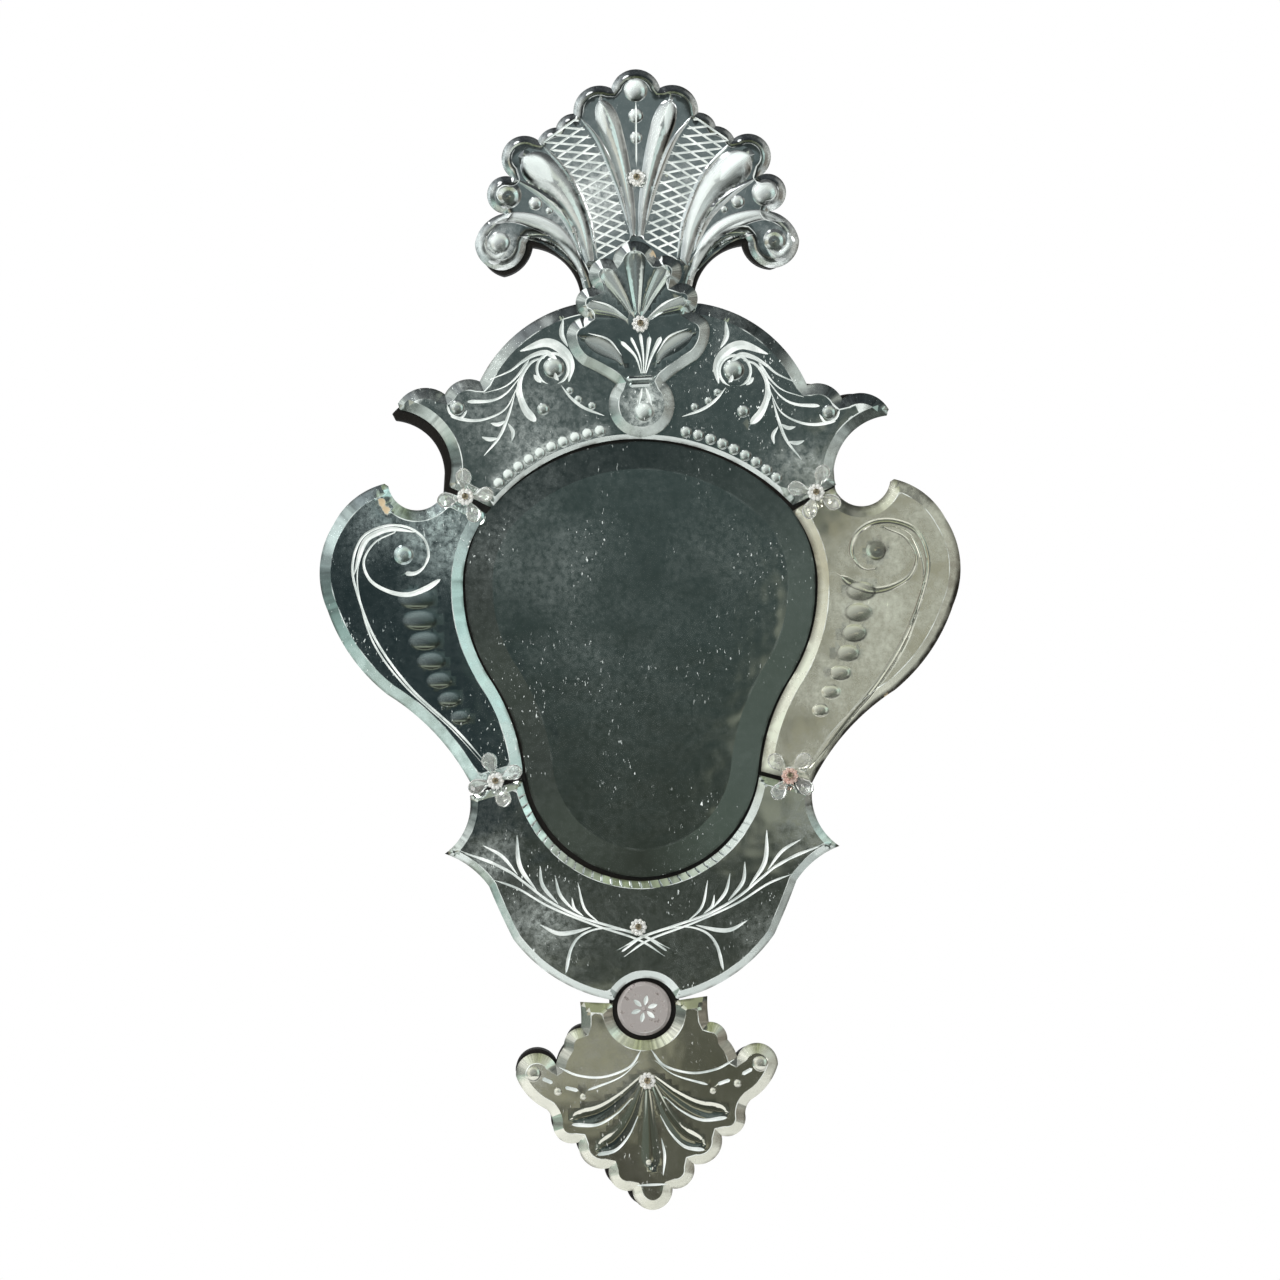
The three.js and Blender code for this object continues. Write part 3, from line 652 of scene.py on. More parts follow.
def pendant_carving():
    def half(side):
        return [
            side.cut([(4, -33), (14, -46), (35, -53), (55, -51), (70, -44)], 1.8, 0.6, "line"),
            side.cut([(7, -42), (22, -54), (48, -63)], 2.2, 0.6, "comma"),
            side.lobe([(6, -56), (22, -70), (40, -81), (62, -86)], 18, -0.8, "plume", "soft"),
            side.lobe([(5, -62), (15, -86), (27, -102), (43, -111)], 18, -0.8, "plume", "soft"),
            side.cut([(14, -72), (26, -83), (42, -91), (62, -90)], 3.6, 0.9, "comma"),
            side.cut([(9, -86), (17, -101), (28, -112), (43, -115)], 3.6, 0.9, "comma"),
            side.dome(91, -48, 6.5, 1.4, 0.2),
            side.dome(72, -63, 3.2, 0.8, 0.4),
            side.dome(52, -68, 2.6, 0.7, 0.4),
            side.cut([(56, -63), (66, -60)], 2.8, 0.7, "line"),
            side.cut([(76, -56), (84, -52)], 3.0, 0.7, "line"),
        ]
    return both_sides(half) + [
        Lobe([(0, -66), (0, -95), (0, -128)], 19, -0.9, "plume", "soft"),
        Cut([(9, -104), (11, -118), (9, -134)], 2.2, 0.7),
        Cut([(-13, -141), (0, -141), (13, -141)], 2.0, 0.6),
        Dome(-2, -123, 2.4, 0.8, 0.5),
    ]


def medallion_carving():
    petals = 6
    features = []
    for k in range(petals):
        angle = 2 * math.pi * (k + 0.3) / petals
        ends = [(r * math.cos(angle), r * math.sin(angle)) for r in (3, 7, 11)]
        features.append(Cut(ends, 3.6, 0.7))
    return features + [Dome(0, 0, 1.8, 0.9, 0.6)]


# How milky the silvering of each plate is: all over, and more or less in soft patches
# (x, z, radius, change)
VEILS = {
    "centre_mirror": (0.015, [(-85, -110, 50, 0.05), (60, -130, 40, 0.02), (-40, -200, 60, 0.02)]),
    "top_panel": (0.02, [(-100, -28, 32, 0.17), (-58, -2, 26, 0.07), (-145, 8, 28, 0.08),
                         (132, -58, 26, 0.22), (70, 52, 24, 0.04)]
                  + [(-x, z, PEARL_RADIUS, 0.4) for x, z in pearl_places(LEFT_PEARLS)]),
    "left_side_panel": (0.015, [(-160, -108, 26, 0.34), (-215, -95, 22, 0.12)]),
    # The right side panel's negative patch just below its upper flower is a painted shadow of the flower,
    # made by clearing the veil
    "right_side_panel": (0.30, [(150, -100, 26, -0.22), (205, -130, 30, 0.10), (190, -180, 30, 0.08)]),
    "apron_panel": (0.03, [(-84, -420, 24, 0.26), (-122, -362, 18, 0.22), (92, -432, 22, 0.10),
                           (125, -345, 18, 0.10)]),
    "crown_plume": (0.012, [(-40, 165, 30, 0.40), (40, 165, 30, 0.18), (-112, 125, 16, 0.4),
                            (112, 128, 14, 0.10)]),
    "crest_shield": (0.02, [(4, -8, 18, 0.5), (-24, 100, 16, 0.14)]),
    "pendant_shell": (0.02, [(-34, -40, 28, 0.14), (-90, -52, 16, 0.24)]),
    "round_medallion": (1.6, []),
    "backing_board": (0, []),
}
# Patches where only the bevel is milky, (x, z, radius, amount)
MILKY_BEVELS = {
    "left_side_panel": [(-240, -112, 14, 0.4), (-228, -210, 22, 0.35), (-190, -252, 30, 0.6),
                        (-150, -292, 28, 0.7), (-135, -205, 26, 0.35), (-110, -265, 30, 0.7)],
    "right_side_panel": [(132, -215, 24, 0.8), (112, -262, 30, 1.0), (98, -296, 20, 1.0),
                         (140, -150, 30, 0.3)],
    "apron_panel": [(75, -345, 30, 0.6), (120, -400, 30, 0.3), (90, -440, 25, 0.3), (-100, -425, 40, 0.6)],
    "top_panel": [(-118, 30, 20, 0.3), (-180, -12, 12, 0.4), (152, -48, 22, 0.4), (-45, -33, 30, 0.5),
                  (-95, -62, 32, 0.5), (125, 20, 16, 0.5)],
    "crest_shield": [(0, -16, 26, 0.5), (-46, 40, 16, 0.35), (44, 36, 22, 0.35)],
    "pendant_shell": [(0, -150, 36, 0.5), (40, -115, 34, 0.4), (-40, -115, 34, 0.35), (95, -55, 24, 0.4)],
}
# Places where the glass is chipped and tinted warm, partly real chips and partly a painted warm reflection
# on the bevel, (x, z, radius)
CHIPS_AND_WARM_REFLECTIONS = {
    "crest_shield": [(16, 116, 4)],
    "left_side_panel": [(-206, -80, 4), (-203, -86, 4)],
    "right_side_panel": [(198, -240, 4)],
}
CHIP_DEPTH = 1.4
# Stretches of edge that are darkened, (x, z, radius, amount)
BLACK_EDGES = {
    "right_side_panel": [(252, -160, 22, 2), (234, -200, 26, 2), (203, -234, 26, 2), (170, -268, 26, 2),
                         (142, -304, 26, 2), (180, -84, 20, 0.8)],
}
BLACK_EDGE_WIDTH = 3.2
# Dark band along a rounded rim's hollow, partly dirt and partly a painted dark reflection: how much, and
# where and how wide it is in bevel widths
RIM_DIRT_AND_DARK_REFLECTION = 0.9
RIM_DIRT_AND_DARK_REFLECTION_PLACE = 0.8
RIM_DIRT_AND_DARK_REFLECTION_WIDTH = 0.25
# The share of the milky veil that is missing from polished carving
POLISH = 0.75


# Meshes

def lean(points, leaning):
    """Turns drawn points about the leaning's pivot."""
    pivot_x, pivot_z, degrees, drop = leaning
    angle = math.radians(degrees)
    x = points[:, 0] - pivot_x
    z = points[:, 1] - pivot_z
    return np.stack((pivot_x + x * math.cos(angle) - z * math.sin(angle),
                     pivot_z + x * math.sin(angle) + z * math.cos(angle) - drop), axis=1)


def to_metres(points, depth):
    return np.stack((points[:, 0], -np.broadcast_to(depth, len(points)), points[:, 1]), axis=1) * MM


def node_back(node):
    """Depth of the node's back, in millimetres from the wall."""
    return -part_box(node)[1][1] / MM


def node_centre(node):
    low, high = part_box(node)
    return (low[0] + high[0]) / 2 / MM, (low[2] + high[2]) / 2 / MM


def add_object(name, data):
    made = bpy.data.objects.new(name, data)
    bpy.context.scene.collection.objects.link(made)
    return made


def add_piece(name, vertices, faces, materials, node, face_materials=None, crease=CREASE):
    mesh = bpy.data.meshes.new(name)
    mesh.from_pydata([tuple(v) for v in vertices], [], [tuple(int(i) for i in f) for f in faces])
    for material in materials:
        mesh.materials.append(material)
    if face_materials is not None:
        mesh.polygons.foreach_set("material_index", np.asarray(face_materials, np.int32))
    mesh.shade_smooth()
    mesh.set_sharp_from_angle(angle=crease)
    mesh.update()
    piece = add_object(name, mesh)
    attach(piece, "root")
    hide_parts(node)
    return piece


def flat_grid(ring, spacing, margin):
    low = ring.min(axis=0)
    high = ring.max(axis=0)
    xs = np.arange(low[0], high[0], spacing)
    zs = np.arange(low[1], high[1], spacing)
    grid = np.stack(np.meshgrid(xs, zs), axis=-1).reshape(-1, 2)
    grid = grid[inside(grid, ring)]
    distance, _ = nearest_on_line(grid, closed(ring))
    return grid[distance > margin]


def bevel_height(share, thickness, edge, rounded):
    share = np.clip(share, 0, 1)
    if rounded:
        share = np.sin(0.5 * math.pi * share)
    return edge + (thickness - edge) * share


def in_patches(points, patches):
    """The sum of soft round patches (x, z, radius, amount) at each point."""
    total = np.zeros(len(points))
    for x, z, radius, amount in patches:
        total += amount * np.exp(-np.sum((points - (x, z)) ** 2, axis=1) / radius ** 2)
    return total


def within_reach(points, feature):
    """Which points lie in the box round a carved feature."""
    low = feature.line.min(axis=0) - feature.reach
    high = feature.line.max(axis=0) + feature.reach
    return np.all((points >= low) & (points <= high), axis=1)


def front_triangles(ring, arris, steps, features, grid):
    """A plate's front as flat points and triangles that keep its arris and carved lines as edges."""
    points = [ring, arris] + steps
    first = len(ring)
    last = first + len(arris) - 1
    edges = [(i, i + 1) for i in range(first, last)] + [(last, first)]
    count = sum(len(line) for line in points)
    for feature in features:
        lines, loose = feature.guides()
        for line in lines:
            edges.extend((i, i + 1) for i in range(count, count + len(line) - 1))
            count += len(line)
        count += sum(len(line) for line in loose)
        points += lines + loose
    drawn = np.concatenate(points + [grid])
    made, _, triangles, *_ = delaunay_2d_cdt(drawn.tolist(), edges, [list(range(len(ring)))], 1, MERGE)
    flat = np.array([(p[0], p[1]) for p in made])
    triangles = np.array(triangles)
    a, b, c = flat[triangles].transpose(1, 0, 2)
    turn = (b[:, 0] - a[:, 0]) * (c[:, 1] - a[:, 1]) - (b[:, 1] - a[:, 1]) * (c[:, 0] - a[:, 0])
    triangles[turn < 0] = triangles[turn < 0][:, ::-1]
    return flat, triangles


def carving_of(flat, features):
    """How far the carving rises at each point, how polished and milky it is with its painted highlight, and
    its painted shade.
    """
    raised, carved, polished, milk, grime = np.zeros((5, len(flat)))
    for feature in features:
        near = within_reach(flat, feature)
        rise = feature.rise(flat[near])
        raised[near] = np.maximum(raised[near], rise)
        carved[near] = np.minimum(carved[near], rise)
        if not feature.frosted:
            cover = np.clip(2 * np.abs(rise) / abs(feature.height), 0, 1)
            foot = 4 * cover * (1 - cover)
            painted_light = feature.painted_light(flat[near])
            polished[near] = np.maximum(polished[near], cover)
            # Painted highlight on each rib's and bead's upper left, painted shade round its foot on its
            # lower right
            milk[near] = np.maximum(milk[near], 2 * feature.milk * painted_light * cover)
            grime[near] = np.maximum(grime[near], 2 * feature.grime * (1 - painted_light) * foot)
    return raised, carved, polished, milk, grime


def frosted_triangles(flat, triangles, features):
    """1 for each triangle in an engraved stroke, 0 for the others."""
    a, b, c = flat[triangles].transpose(1, 0, 2)
    middles = (a + b + c) / 3
    frosted = np.zeros(len(triangles), int)
    for feature in features:
        if feature.frosted:
            near = within_reach(middles, feature)
            frosted[near] |= feature.rise(middles[near]) < -FROST_DEPTH
    return frosted


def chip_and_reflection_share(flat, chips):
    """How far each point is chipped and tinted warm, partly a painted warm reflection, from 0 to 1."""
    chip_and_reflection = np.zeros(len(flat))
    for x, z, radius in chips:
        gap = np.linalg.norm(flat - (x, z), axis=1) / radius
        chip_and_reflection = np.maximum(chip_and_reflection, np.clip(1.4 - gap, 0, 1))
    return chip_and_reflection


def rim_of(triangles):
    """The loop of edges that only one triangle uses, in walking order."""
    sides = np.concatenate((triangles[:, [0, 1]], triangles[:, [1, 2]], triangles[:, [2, 0]]))
    used = dict.fromkeys((first, second) for first, second in sides.tolist())
    follow = {first: second for first, second in used if (second, first) not in used}
    start = next(iter(follow))
    rim = [start]
    while follow[rim[-1]] != start:
        rim.append(follow[rim[-1]])
    return rim


def glass_plate(name, node, stations, features, materials, leaning=NO_LEAN, bevel=PANEL_BEVEL,
                thickness=GLASS, edge=BEVEL_EDGE, rounded=False, shift_z=0,
                crease=CREASE):
    """A bevelled plate with its carving, standing where its node stands."""
    ring = trace(stations)
    slim = along_arch(ring) if node == "top_panel" else np.zeros(len(ring), bool)
    widths = np.where(slim, ARCH_BEVEL, bevel)

    def inset(share):
        moved = moved_in(ring, share * widths)
        _, kept = from_edge(moved, ring, bevel, slim)
        return moved[(kept > INSET_SHARE * share) & inside(moved, ring)]
    steps = [inset(share) for share in (ROUNDED_STEPS if rounded else BEVEL_STEPS)]
    grid = flat_grid(ring, FLAT_GRID, bevel + GRID_MARGIN)
    flat, triangles = front_triangles(ring, inset(1.0), steps, features, grid)

    distance, bevel_share = from_edge(flat, ring, bevel, slim)
    raised, carved, polished, milk, grime = carving_of(flat, features)
    # A dark band in a rounded rim's hollow: partly dirt, partly a painted dark reflection
    if rounded:
        off = np.abs(bevel_share - RIM_DIRT_AND_DARK_REFLECTION_PLACE) / RIM_DIRT_AND_DARK_REFLECTION_WIDTH
        grime = np.maximum(grime, RIM_DIRT_AND_DARK_REFLECTION * np.clip(1.3 - off, 0, 1))
    black = in_patches(flat, BLACK_EDGES.get(node, []))
    grime = np.maximum(grime, black * np.clip(1.5 - 1.5 * distance / BLACK_EDGE_WIDTH, 0, 1))
    chip_and_reflection = chip_and_reflection_share(flat, CHIPS_AND_WARM_REFLECTIONS.get(node, []))
    height = bevel_height(bevel_share, thickness, edge, rounded) + raised + carved
    height = np.maximum(height - CHIP_DEPTH * chip_and_reflection, 0.5 * edge)
    at_rim = distance < RIM_TOLERANCE
    height[at_rim] = np.minimum(edge, height[at_rim])
    everywhere, patches = VEILS[node]
    veil = (everywhere + in_patches(flat, patches)) * (1 - POLISH * polished)
    milky_bevel = in_patches(flat, MILKY_BEVELS.get(node, []))

    rim = rim_of(triangles)
    back = node_back(node)
    placed = lean(flat + np.array((0, shift_z)), leaning)
    vertices = np.vstack((to_metres(placed, back + height), to_metres(placed[rim], back)))
    behind = list(range(len(flat), len(vertices)))
    walls = list(zip(rim, behind, behind[1:] + behind[:1], rim[1:] + rim[:1]))
    faces = triangles.tolist() + walls + [behind[::-1]]
    face_materials = list(frosted_triangles(flat, triangles, features)) + [0] * (len(walls) + 1)
    piece = add_piece(name, vertices, faces, materials, node, face_materials, crease)
    written = {"edge_mm": distance, "bevel_share": bevel_share, "veil": veil, "milk": milk, "grime": grime,
               "milky_bevel": milky_bevel, "chip_and_reflection": chip_and_reflection}
    for layer_name, values in written.items():
        layer = piece.data.attributes.new(layer_name, "FLOAT", "POINT")
        layer.data.foreach_set("value", np.concatenate((values, values[rim])).astype(np.float32))


# Materials

def connect(tree, value, socket):
    """Links a socket, or sets a plain value."""
    if isinstance(value, bpy.types.NodeSocket):
        tree.links.new(value, socket)
    else:
        socket.default_value = value


def feed(tree, node, **values):
    """Sets a node's inputs, given as sockets or plain values."""
    for key, value in values.items():
        connect(tree, value, node.inputs[key.replace("_", " ")])


def put(tree, kind, **values):
    """Adds a node and sets its properties and inputs."""
    made = tree.nodes.new(kind)
    for key, value in values.items():
        if hasattr(made, key):
            setattr(made, key, value)
        else:
            feed(tree, made, **{key: value})
    return made


def new_material(name):
    """A material with its node tree, its shader and the object's own coordinates."""
    material = bpy.data.materials.new(name)
    material.use_nodes = True
    tree = material.node_tree
    return material, tree, tree.nodes["Principled BSDF"], put(tree, "ShaderNodeTexCoord").outputs["Object"]


def colour(r, g, b):
    return (r, g, b, 1)


def ramp(tree, value, low, high, to_low=0.0, to_high=1.0):
    return put(tree, "ShaderNodeMapRange", Value=value, From_Min=low, From_Max=high, To_Min=to_low,
               To_Max=to_high).outputs["Result"]


def blend(tree, share, first, second):
    mix = put(tree, "ShaderNodeMix", data_type="RGBA", Factor=share)
    sockets = [socket for socket in mix.inputs if socket.type == "RGBA"]
    for socket, value in zip(sockets, (first, second)):
        connect(tree, value, socket)
    return next(socket for socket in mix.outputs if socket.type == "RGBA")


def noise(tree, coords, scale, detail=4.0, roughness=0.55, stretch=(1, 1, 1)):
    vector = put(tree, "ShaderNodeMapping", Vector=coords, Scale=stretch).outputs["Vector"]
    return put(tree, "ShaderNodeTexNoise", Vector=vector, Scale=scale, Detail=detail,
               Roughness=roughness).outputs["Fac"]


def maths(tree, operation, *values):
    made = put(tree, "ShaderNodeMath", operation=operation)
    for socket, value in zip(made.inputs, values):
        connect(tree, value, socket)
    return made.outputs[0]


def multiply(tree, first, *others):
    for other in others:
        first = maths(tree, "MULTIPLY", first, other)
    return first


def larger(tree, first, *others):
    for other in others:
        first = maths(tree, "MAXIMUM", first, other)
    return first


def attribute(tree, name):
    return put(tree, "ShaderNodeAttribute", attribute_name=name).outputs["Fac"]


def bumps(tree, height, strength, distance):
    return put(tree, "ShaderNodeBump", Strength=strength, Distance=distance, Height=height).outputs["Normal"]


SHADE_AND_DARKENING_TINT = colour(0.02, 0.022, 0.02)
TARNISH_TINT = colour(0.07, 0.06, 0.045)
FLECK_AND_HIGHLIGHT_TINT = colour(0.82, 0.86, 0.84)
CHIP_AND_REFLECTION_TINT = colour(0.50, 0.40, 0.26)


def aged_mirror(name, clear, milky, flecks=1.0, tarnish=2.2, arris_highlight=0.8, mottled=1.0):
    """Old silvering: clear where it has lasted, milky in clouds, with flecks and a tarnished edge; with a
    painted highlight along the arris, the carving's painted highlight and painted shade, and warm chips that
    are partly a painted reflection.
    """
    material, tree, shader, coords = new_material(name)
    share = attribute(tree, "bevel_share")
    clouds = ramp(tree, noise(tree, coords, 26, 7, 0.62), 0.32, 0.68, 0.3, 1.6)
    mottle = ramp(tree, noise(tree, coords, 190, 8, 0.72), 0.38, 0.62, 1 - 0.8 * mottled, 1 + 0.7 * mottled)
    streaks = ramp(tree, noise(tree, coords, 70, 5, 0.6), 0.35, 0.62, 0.3, 1.15)
    smears = ramp(tree, noise(tree, coords, 40, 5, 0.6, stretch=(5, 1, 0.7)), 0.55, 0.9)
    on_bevel = multiply(tree, ramp(tree, share, 1.02, 0.98), streaks)
    # The milk attribute is the carving's milky veil with its painted highlight on each rib's and bead's
    # upper left
    veil = larger(tree, multiply(tree, attribute(tree, "veil"), clouds, mottle),
                  multiply(tree, attribute(tree, "milky_bevel"), on_bevel),
                  attribute(tree, "milk"), multiply(tree, smears, 0.05))
    dashes = ramp(tree, noise(tree, coords, 300, 3, stretch=(2.0, 1, 0.8)), 0.665, 0.71)
    spots = multiply(tree, dashes, ramp(tree, noise(tree, coords, 14), 0.46, 0.62), flecks)
    # A painted highlight: a pale, broken line along the arris, where the bevel meets the flat
    from_arris = maths(tree, "ABSOLUTE", maths(tree, "SUBTRACT", share, 1.0))
    arris = multiply(tree, ramp(tree, from_arris, 0.07, 0.02),
                     ramp(tree, noise(tree, coords, 38), 0.44, 0.6), arris_highlight)
    edge = multiply(tree, ramp(tree, attribute(tree, "edge_mm"), tarnish, 0.0),
                    ramp(tree, noise(tree, coords, 60), 0.54 - 0.05 * tarnish, 0.72 - 0.05 * tarnish), 0.75)
    ragged = ramp(tree, noise(tree, coords, 220), 0.3, 0.7, 0.5, 1.4)
    # The warm chip tint is partly a painted warm reflection on the bevel
    chip_and_reflection = ramp(tree, multiply(tree, attribute(tree, "chip_and_reflection"), ragged), 0.4, 0.6)
    # Painted shade round the carving's feet, the rim's band of dirt and painted dark reflection, and darker
    # stretches of edge, all towards one dark tint
    grime = multiply(tree, attribute(tree, "grime"), ramp(tree, noise(tree, coords, 55), 0.30, 0.55))
    base = blend(tree, veil, clear, milky)
    base = blend(tree, grime, base, SHADE_AND_DARKENING_TINT)
    base = blend(tree, edge, base, TARNISH_TINT)
    base = blend(tree, larger(tree, spots, arris), base, FLECK_AND_HIGHLIGHT_TINT)
    base = blend(tree, chip_and_reflection, base, CHIP_AND_REFLECTION_TINT)
    dull = larger(tree, veil, spots, chip_and_reflection, arris)
    feed(tree, shader, Base_Color=base, Metallic=ramp(tree, dull, 1.0, 0.0),
         Roughness=ramp(tree, dull, 0.0, 1.0, 0.04, 0.42),
         Normal=bumps(tree, noise(tree, coords, 24, 2), 0.05, 0.004))
    return material


def frosted_cut(name):
    """Ground glass in the cut strokes, brighter where it has less wear."""
    material, tree, shader, coords = new_material(name)
    grain = noise(tree, coords, 900, 3)
    wear = ramp(tree, noise(tree, coords, 45), 0.36, 0.62)
    tint = blend(tree, wear, colour(0.55, 0.60, 0.58), colour(0.93, 0.96, 0.94))
    feed(tree, shader, Base_Color=tint, Metallic=0.25, Roughness=ramp(tree, grain, 0.0, 1.0, 0.25, 0.55),
         Normal=bumps(tree, grain, 0.25, 0.0004))
    return material


def clear_glass(name, clean, stained, clearness):
    """Pressed glass with a thin film of dirt in patches."""
    material, tree, shader, coords = new_material(name)
    film = ramp(tree, noise(tree, coords, 160), 0.45, 0.75)
    feed(tree, shader, Base_Color=blend(tree, film, clean, stained), Transmission_Weight=clearness, IOR=1.5,
         Roughness=ramp(tree, film, 0.0, 1.0, 0.03, 0.18),
         Normal=bumps(tree, noise(tree, coords, 240, 2), 0.15, 0.001))
    return material


def black_wood(name):
    """Black stain, thin in patches, over a grain with dark pores."""
    material, tree, shader, coords = new_material(name)
    grain = noise(tree, coords, 30, 8, 0.65, stretch=(9, 9, 0.6))
    pores = ramp(tree, noise(tree, coords, 140, stretch=(8, 8, 0.4)), 0.6, 0.68)
    thin = ramp(tree, noise(tree, coords, 7, 3), 0.4, 0.7)
    base = blend(tree, grain, colour(0.0015, 0.0013, 0.001), colour(0.007, 0.005, 0.004))
    base = blend(tree, multiply(tree, thin, 0.35), base, colour(0.014, 0.010, 0.008))
    base = blend(tree, pores, base, colour(0.002, 0.002, 0.002))
    feed(tree, shader, Base_Color=base, Roughness=ramp(tree, grain, 0.0, 1.0, 0.5, 0.75),
         Normal=bumps(tree, grain, 0.35, 0.0008))
    return material


def pin_metal(name):
    material, tree, shader, coords = new_material(name)
    tarnish = ramp(tree, noise(tree, coords, 600), 0.4, 0.7)
    base = blend(tree, tarnish, colour(0.55, 0.47, 0.34), colour(0.16, 0.11, 0.07))
    feed(tree, shader, Base_Color=base, Metallic=1, Roughness=ramp(tree, tarnish, 0.0, 1.0, 0.25, 0.6))
    return material


# Fittings

def lofted(rings, first_pole, last_pole):
    """Vertices and faces of a closed surface through rings of points, with a point at each end."""
    count = len(rings[0])
    vertices = [first_pole] + [p for ring in rings for p in ring] + [last_pole]
    faces = []
    for j in range(count):
        faces.append((0, 1 + (j + 1) % count, 1 + j))
    for i in range(len(rings) - 1):
        for j in range(count):
            k = (j + 1) % count
            row = 1 + i * count
            faces.append((row + j, row + k, row + count + k, row + count + j))
    last_row = 1 + (len(rings) - 1) * count
    last = len(vertices) - 1
    for j in range(count):
        faces.append((last, last_row + j, last_row + (j + 1) % count))
    return np.array(vertices, float), faces


PETAL_LENGTH = 20.0
PETAL_WIDTH = 12.5
PETAL_THICKNESS = 6.0
PETAL_START = 3.0
PETAL_RISE = math.tan(math.radians(14))
PETAL_SIDES = 24
PETAL_RINGS = 18
PETAL_HOLLOW = 2.4


def petal(turn):
    """A drop-shaped petal on a narrow neck, with a thumbed hollow, pointing along its turn."""
    rings = []
    around = np.arange(PETAL_SIDES) * 2 * math.pi / PETAL_SIDES
    for share in np.linspace(0.03, 0.97, PETAL_RINGS):
        swell = math.sin(math.pi * share ** 1.7) ** 0.6
        half = 0.5 * PETAL_WIDTH * max(swell, 0.42 * (1 - share) if share < 0.6 else 0)
        thick = 0.5 * PETAL_THICKNESS * math.sin(math.pi * share) ** 0.35
        sideways = half * np.cos(around)
        up = thick * np.sin(around)
        depth = PETAL_HOLLOW * math.exp(-((share - 0.66) / 0.2) ** 2)
        hollow = depth * np.exp(-(sideways / (0.55 * half)) ** 2)
        up = up - np.where(np.sin(around) > 0, hollow, 0)
        reach = PETAL_START + PETAL_LENGTH * share
        rise = 0.5 * PETAL_THICKNESS + PETAL_RISE * PETAL_LENGTH * share
        rings.append(np.stack((np.full(PETAL_SIDES, reach), sideways, up + rise), axis=1))
    first = (PETAL_START, 0, 0.5 * PETAL_THICKNESS)
    last = (PETAL_START + PETAL_LENGTH, 0, 0.5 * PETAL_THICKNESS + PETAL_RISE * PETAL_LENGTH)
    return turned(lofted(rings, first, last), turn)


def turned(part, angle):
    vertices, faces = part
    cos = math.cos(angle)
    sin = math.sin(angle)
    spin = np.array(((cos, sin, 0), (-sin, cos, 0), (0, 0, 1)))
    return vertices @ spin, faces


BALL_SIDES = 16


def ball(x, y, height, radius, flatten=1.0):
    """A small sphere, squashed along the depth where flatten is below one."""
    around = np.arange(BALL_SIDES) * 2 * math.pi / BALL_SIDES
    rings = []
    for lift in np.radians(np.linspace(-67.5, 67.5, 7)):
        ring_radius = radius * math.cos(lift)
        level = height + radius * flatten * math.sin(lift)
        rings.append(np.stack((x + ring_radius * np.cos(around), y + ring_radius * np.sin(around),
                               np.full(BALL_SIDES, level)), axis=1))
    return lofted(rings, (x, y, height - radius * flatten), (x, y, height + radius * flatten))


def ring_of_balls(count, ring_radius, height, radius):
    balls = []
    for k in range(count):
        angle = 2 * math.pi * k / count
        balls.append(ball(ring_radius * math.cos(angle), ring_radius * math.sin(angle), height, radius))
    return balls


def joined(parts):
    vertices = []
    faces = []
    count = 0
    for part_vertices, part_faces in parts:
        vertices.append(part_vertices)
        faces += [tuple(i + count for i in face) for face in part_faces]
        count += len(part_vertices)
    return np.concatenate(vertices), faces


def fuse(piece, voxel, softening):
    """Joins a piece's overlapping bodies into one skin."""
    remesh = piece.modifiers.new("fuse", "REMESH")
    remesh.mode = "VOXEL"
    remesh.voxel_size = voxel
    smooth = piece.modifiers.new("soften", "SMOOTH")
    smooth.iterations = softening
    depsgraph = bpy.context.evaluated_depsgraph_get()
    made = bpy.data.meshes.new_from_object(piece.evaluated_get(depsgraph))
    piece.modifiers.clear()
    made.name = piece.name
    made.shade_smooth()
    piece.data = made


def stand(vertices, node, centre=None):
    """Drawn (x, up, forward) millimetres set at the centre or the node's middle, as metres in the frame."""
    x, z = centre or node_centre(node)
    back = node_back(node)
    return np.stack((x + vertices[:, 0], -(back + vertices[:, 2]), z + vertices[:, 1]), axis=1) * MM


FLOWER_VOXEL = 0.45 * MM
ROSETTE_VOXEL = 0.25 * MM
HUB_RADIUS = 7.0
HUB_HEIGHT = 2.8
FLOWER_SOFTENING = 6
ROSETTE_SOFTENING = 3
ROSETTE_RADIUS = 5.6
# The rings of a rosette: grains, ring radius, share of the rosette's height, radius of a grain
ROSETTE_RINGS = [(10, 5.2, 0.48, 1.75), (6, 2.9, 0.68, 1.2)]
PIN_SIDES = 24
PIN_TOP = 2.0
# A pin's head as (radius, height)
PIN_PROFILE = [(2.2, 0.0), (2.6, 0.3), (2.55, 0.9), (2.2, 1.5), (1.5, 1.85), (0.7, 1.98)]


def flower_piece(where, turns, centre, material):
    """Four petals pressed in one with a low hub; the turns are the directions they point in."""
    node = "flower_" + where
    parts = [petal(math.radians(degrees)) for degrees in turns] + [ball(0, 0, HUB_HEIGHT, HUB_RADIUS, 0.4)]
    vertices, faces = joined(parts)
    placed = stand(vertices, node, centre)
    piece = add_piece("pressed_" + node, placed, faces, [material], node)
    fuse(piece, FLOWER_VOXEL, FLOWER_SOFTENING)


def rosette_piece(node, material):
    """A moulded button: two rings of grains on a low base."""
    low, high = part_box(node)
    height = (high[1] - low[1]) / MM
    parts = [ball(0, 0, 0.35 * height, ROSETTE_RADIUS, 0.06 * height)]
    for count, ring_radius, share, radius in ROSETTE_RINGS:
        parts += ring_of_balls(count, ring_radius, share * height, radius)
    vertices, faces = joined(parts)
    vertices[:, 2] = np.clip(vertices[:, 2], 0, height)
    piece = add_piece("moulded_" + node, stand(vertices, node), faces, [material], node)
    fuse(piece, ROSETTE_VOXEL, ROSETTE_SOFTENING)


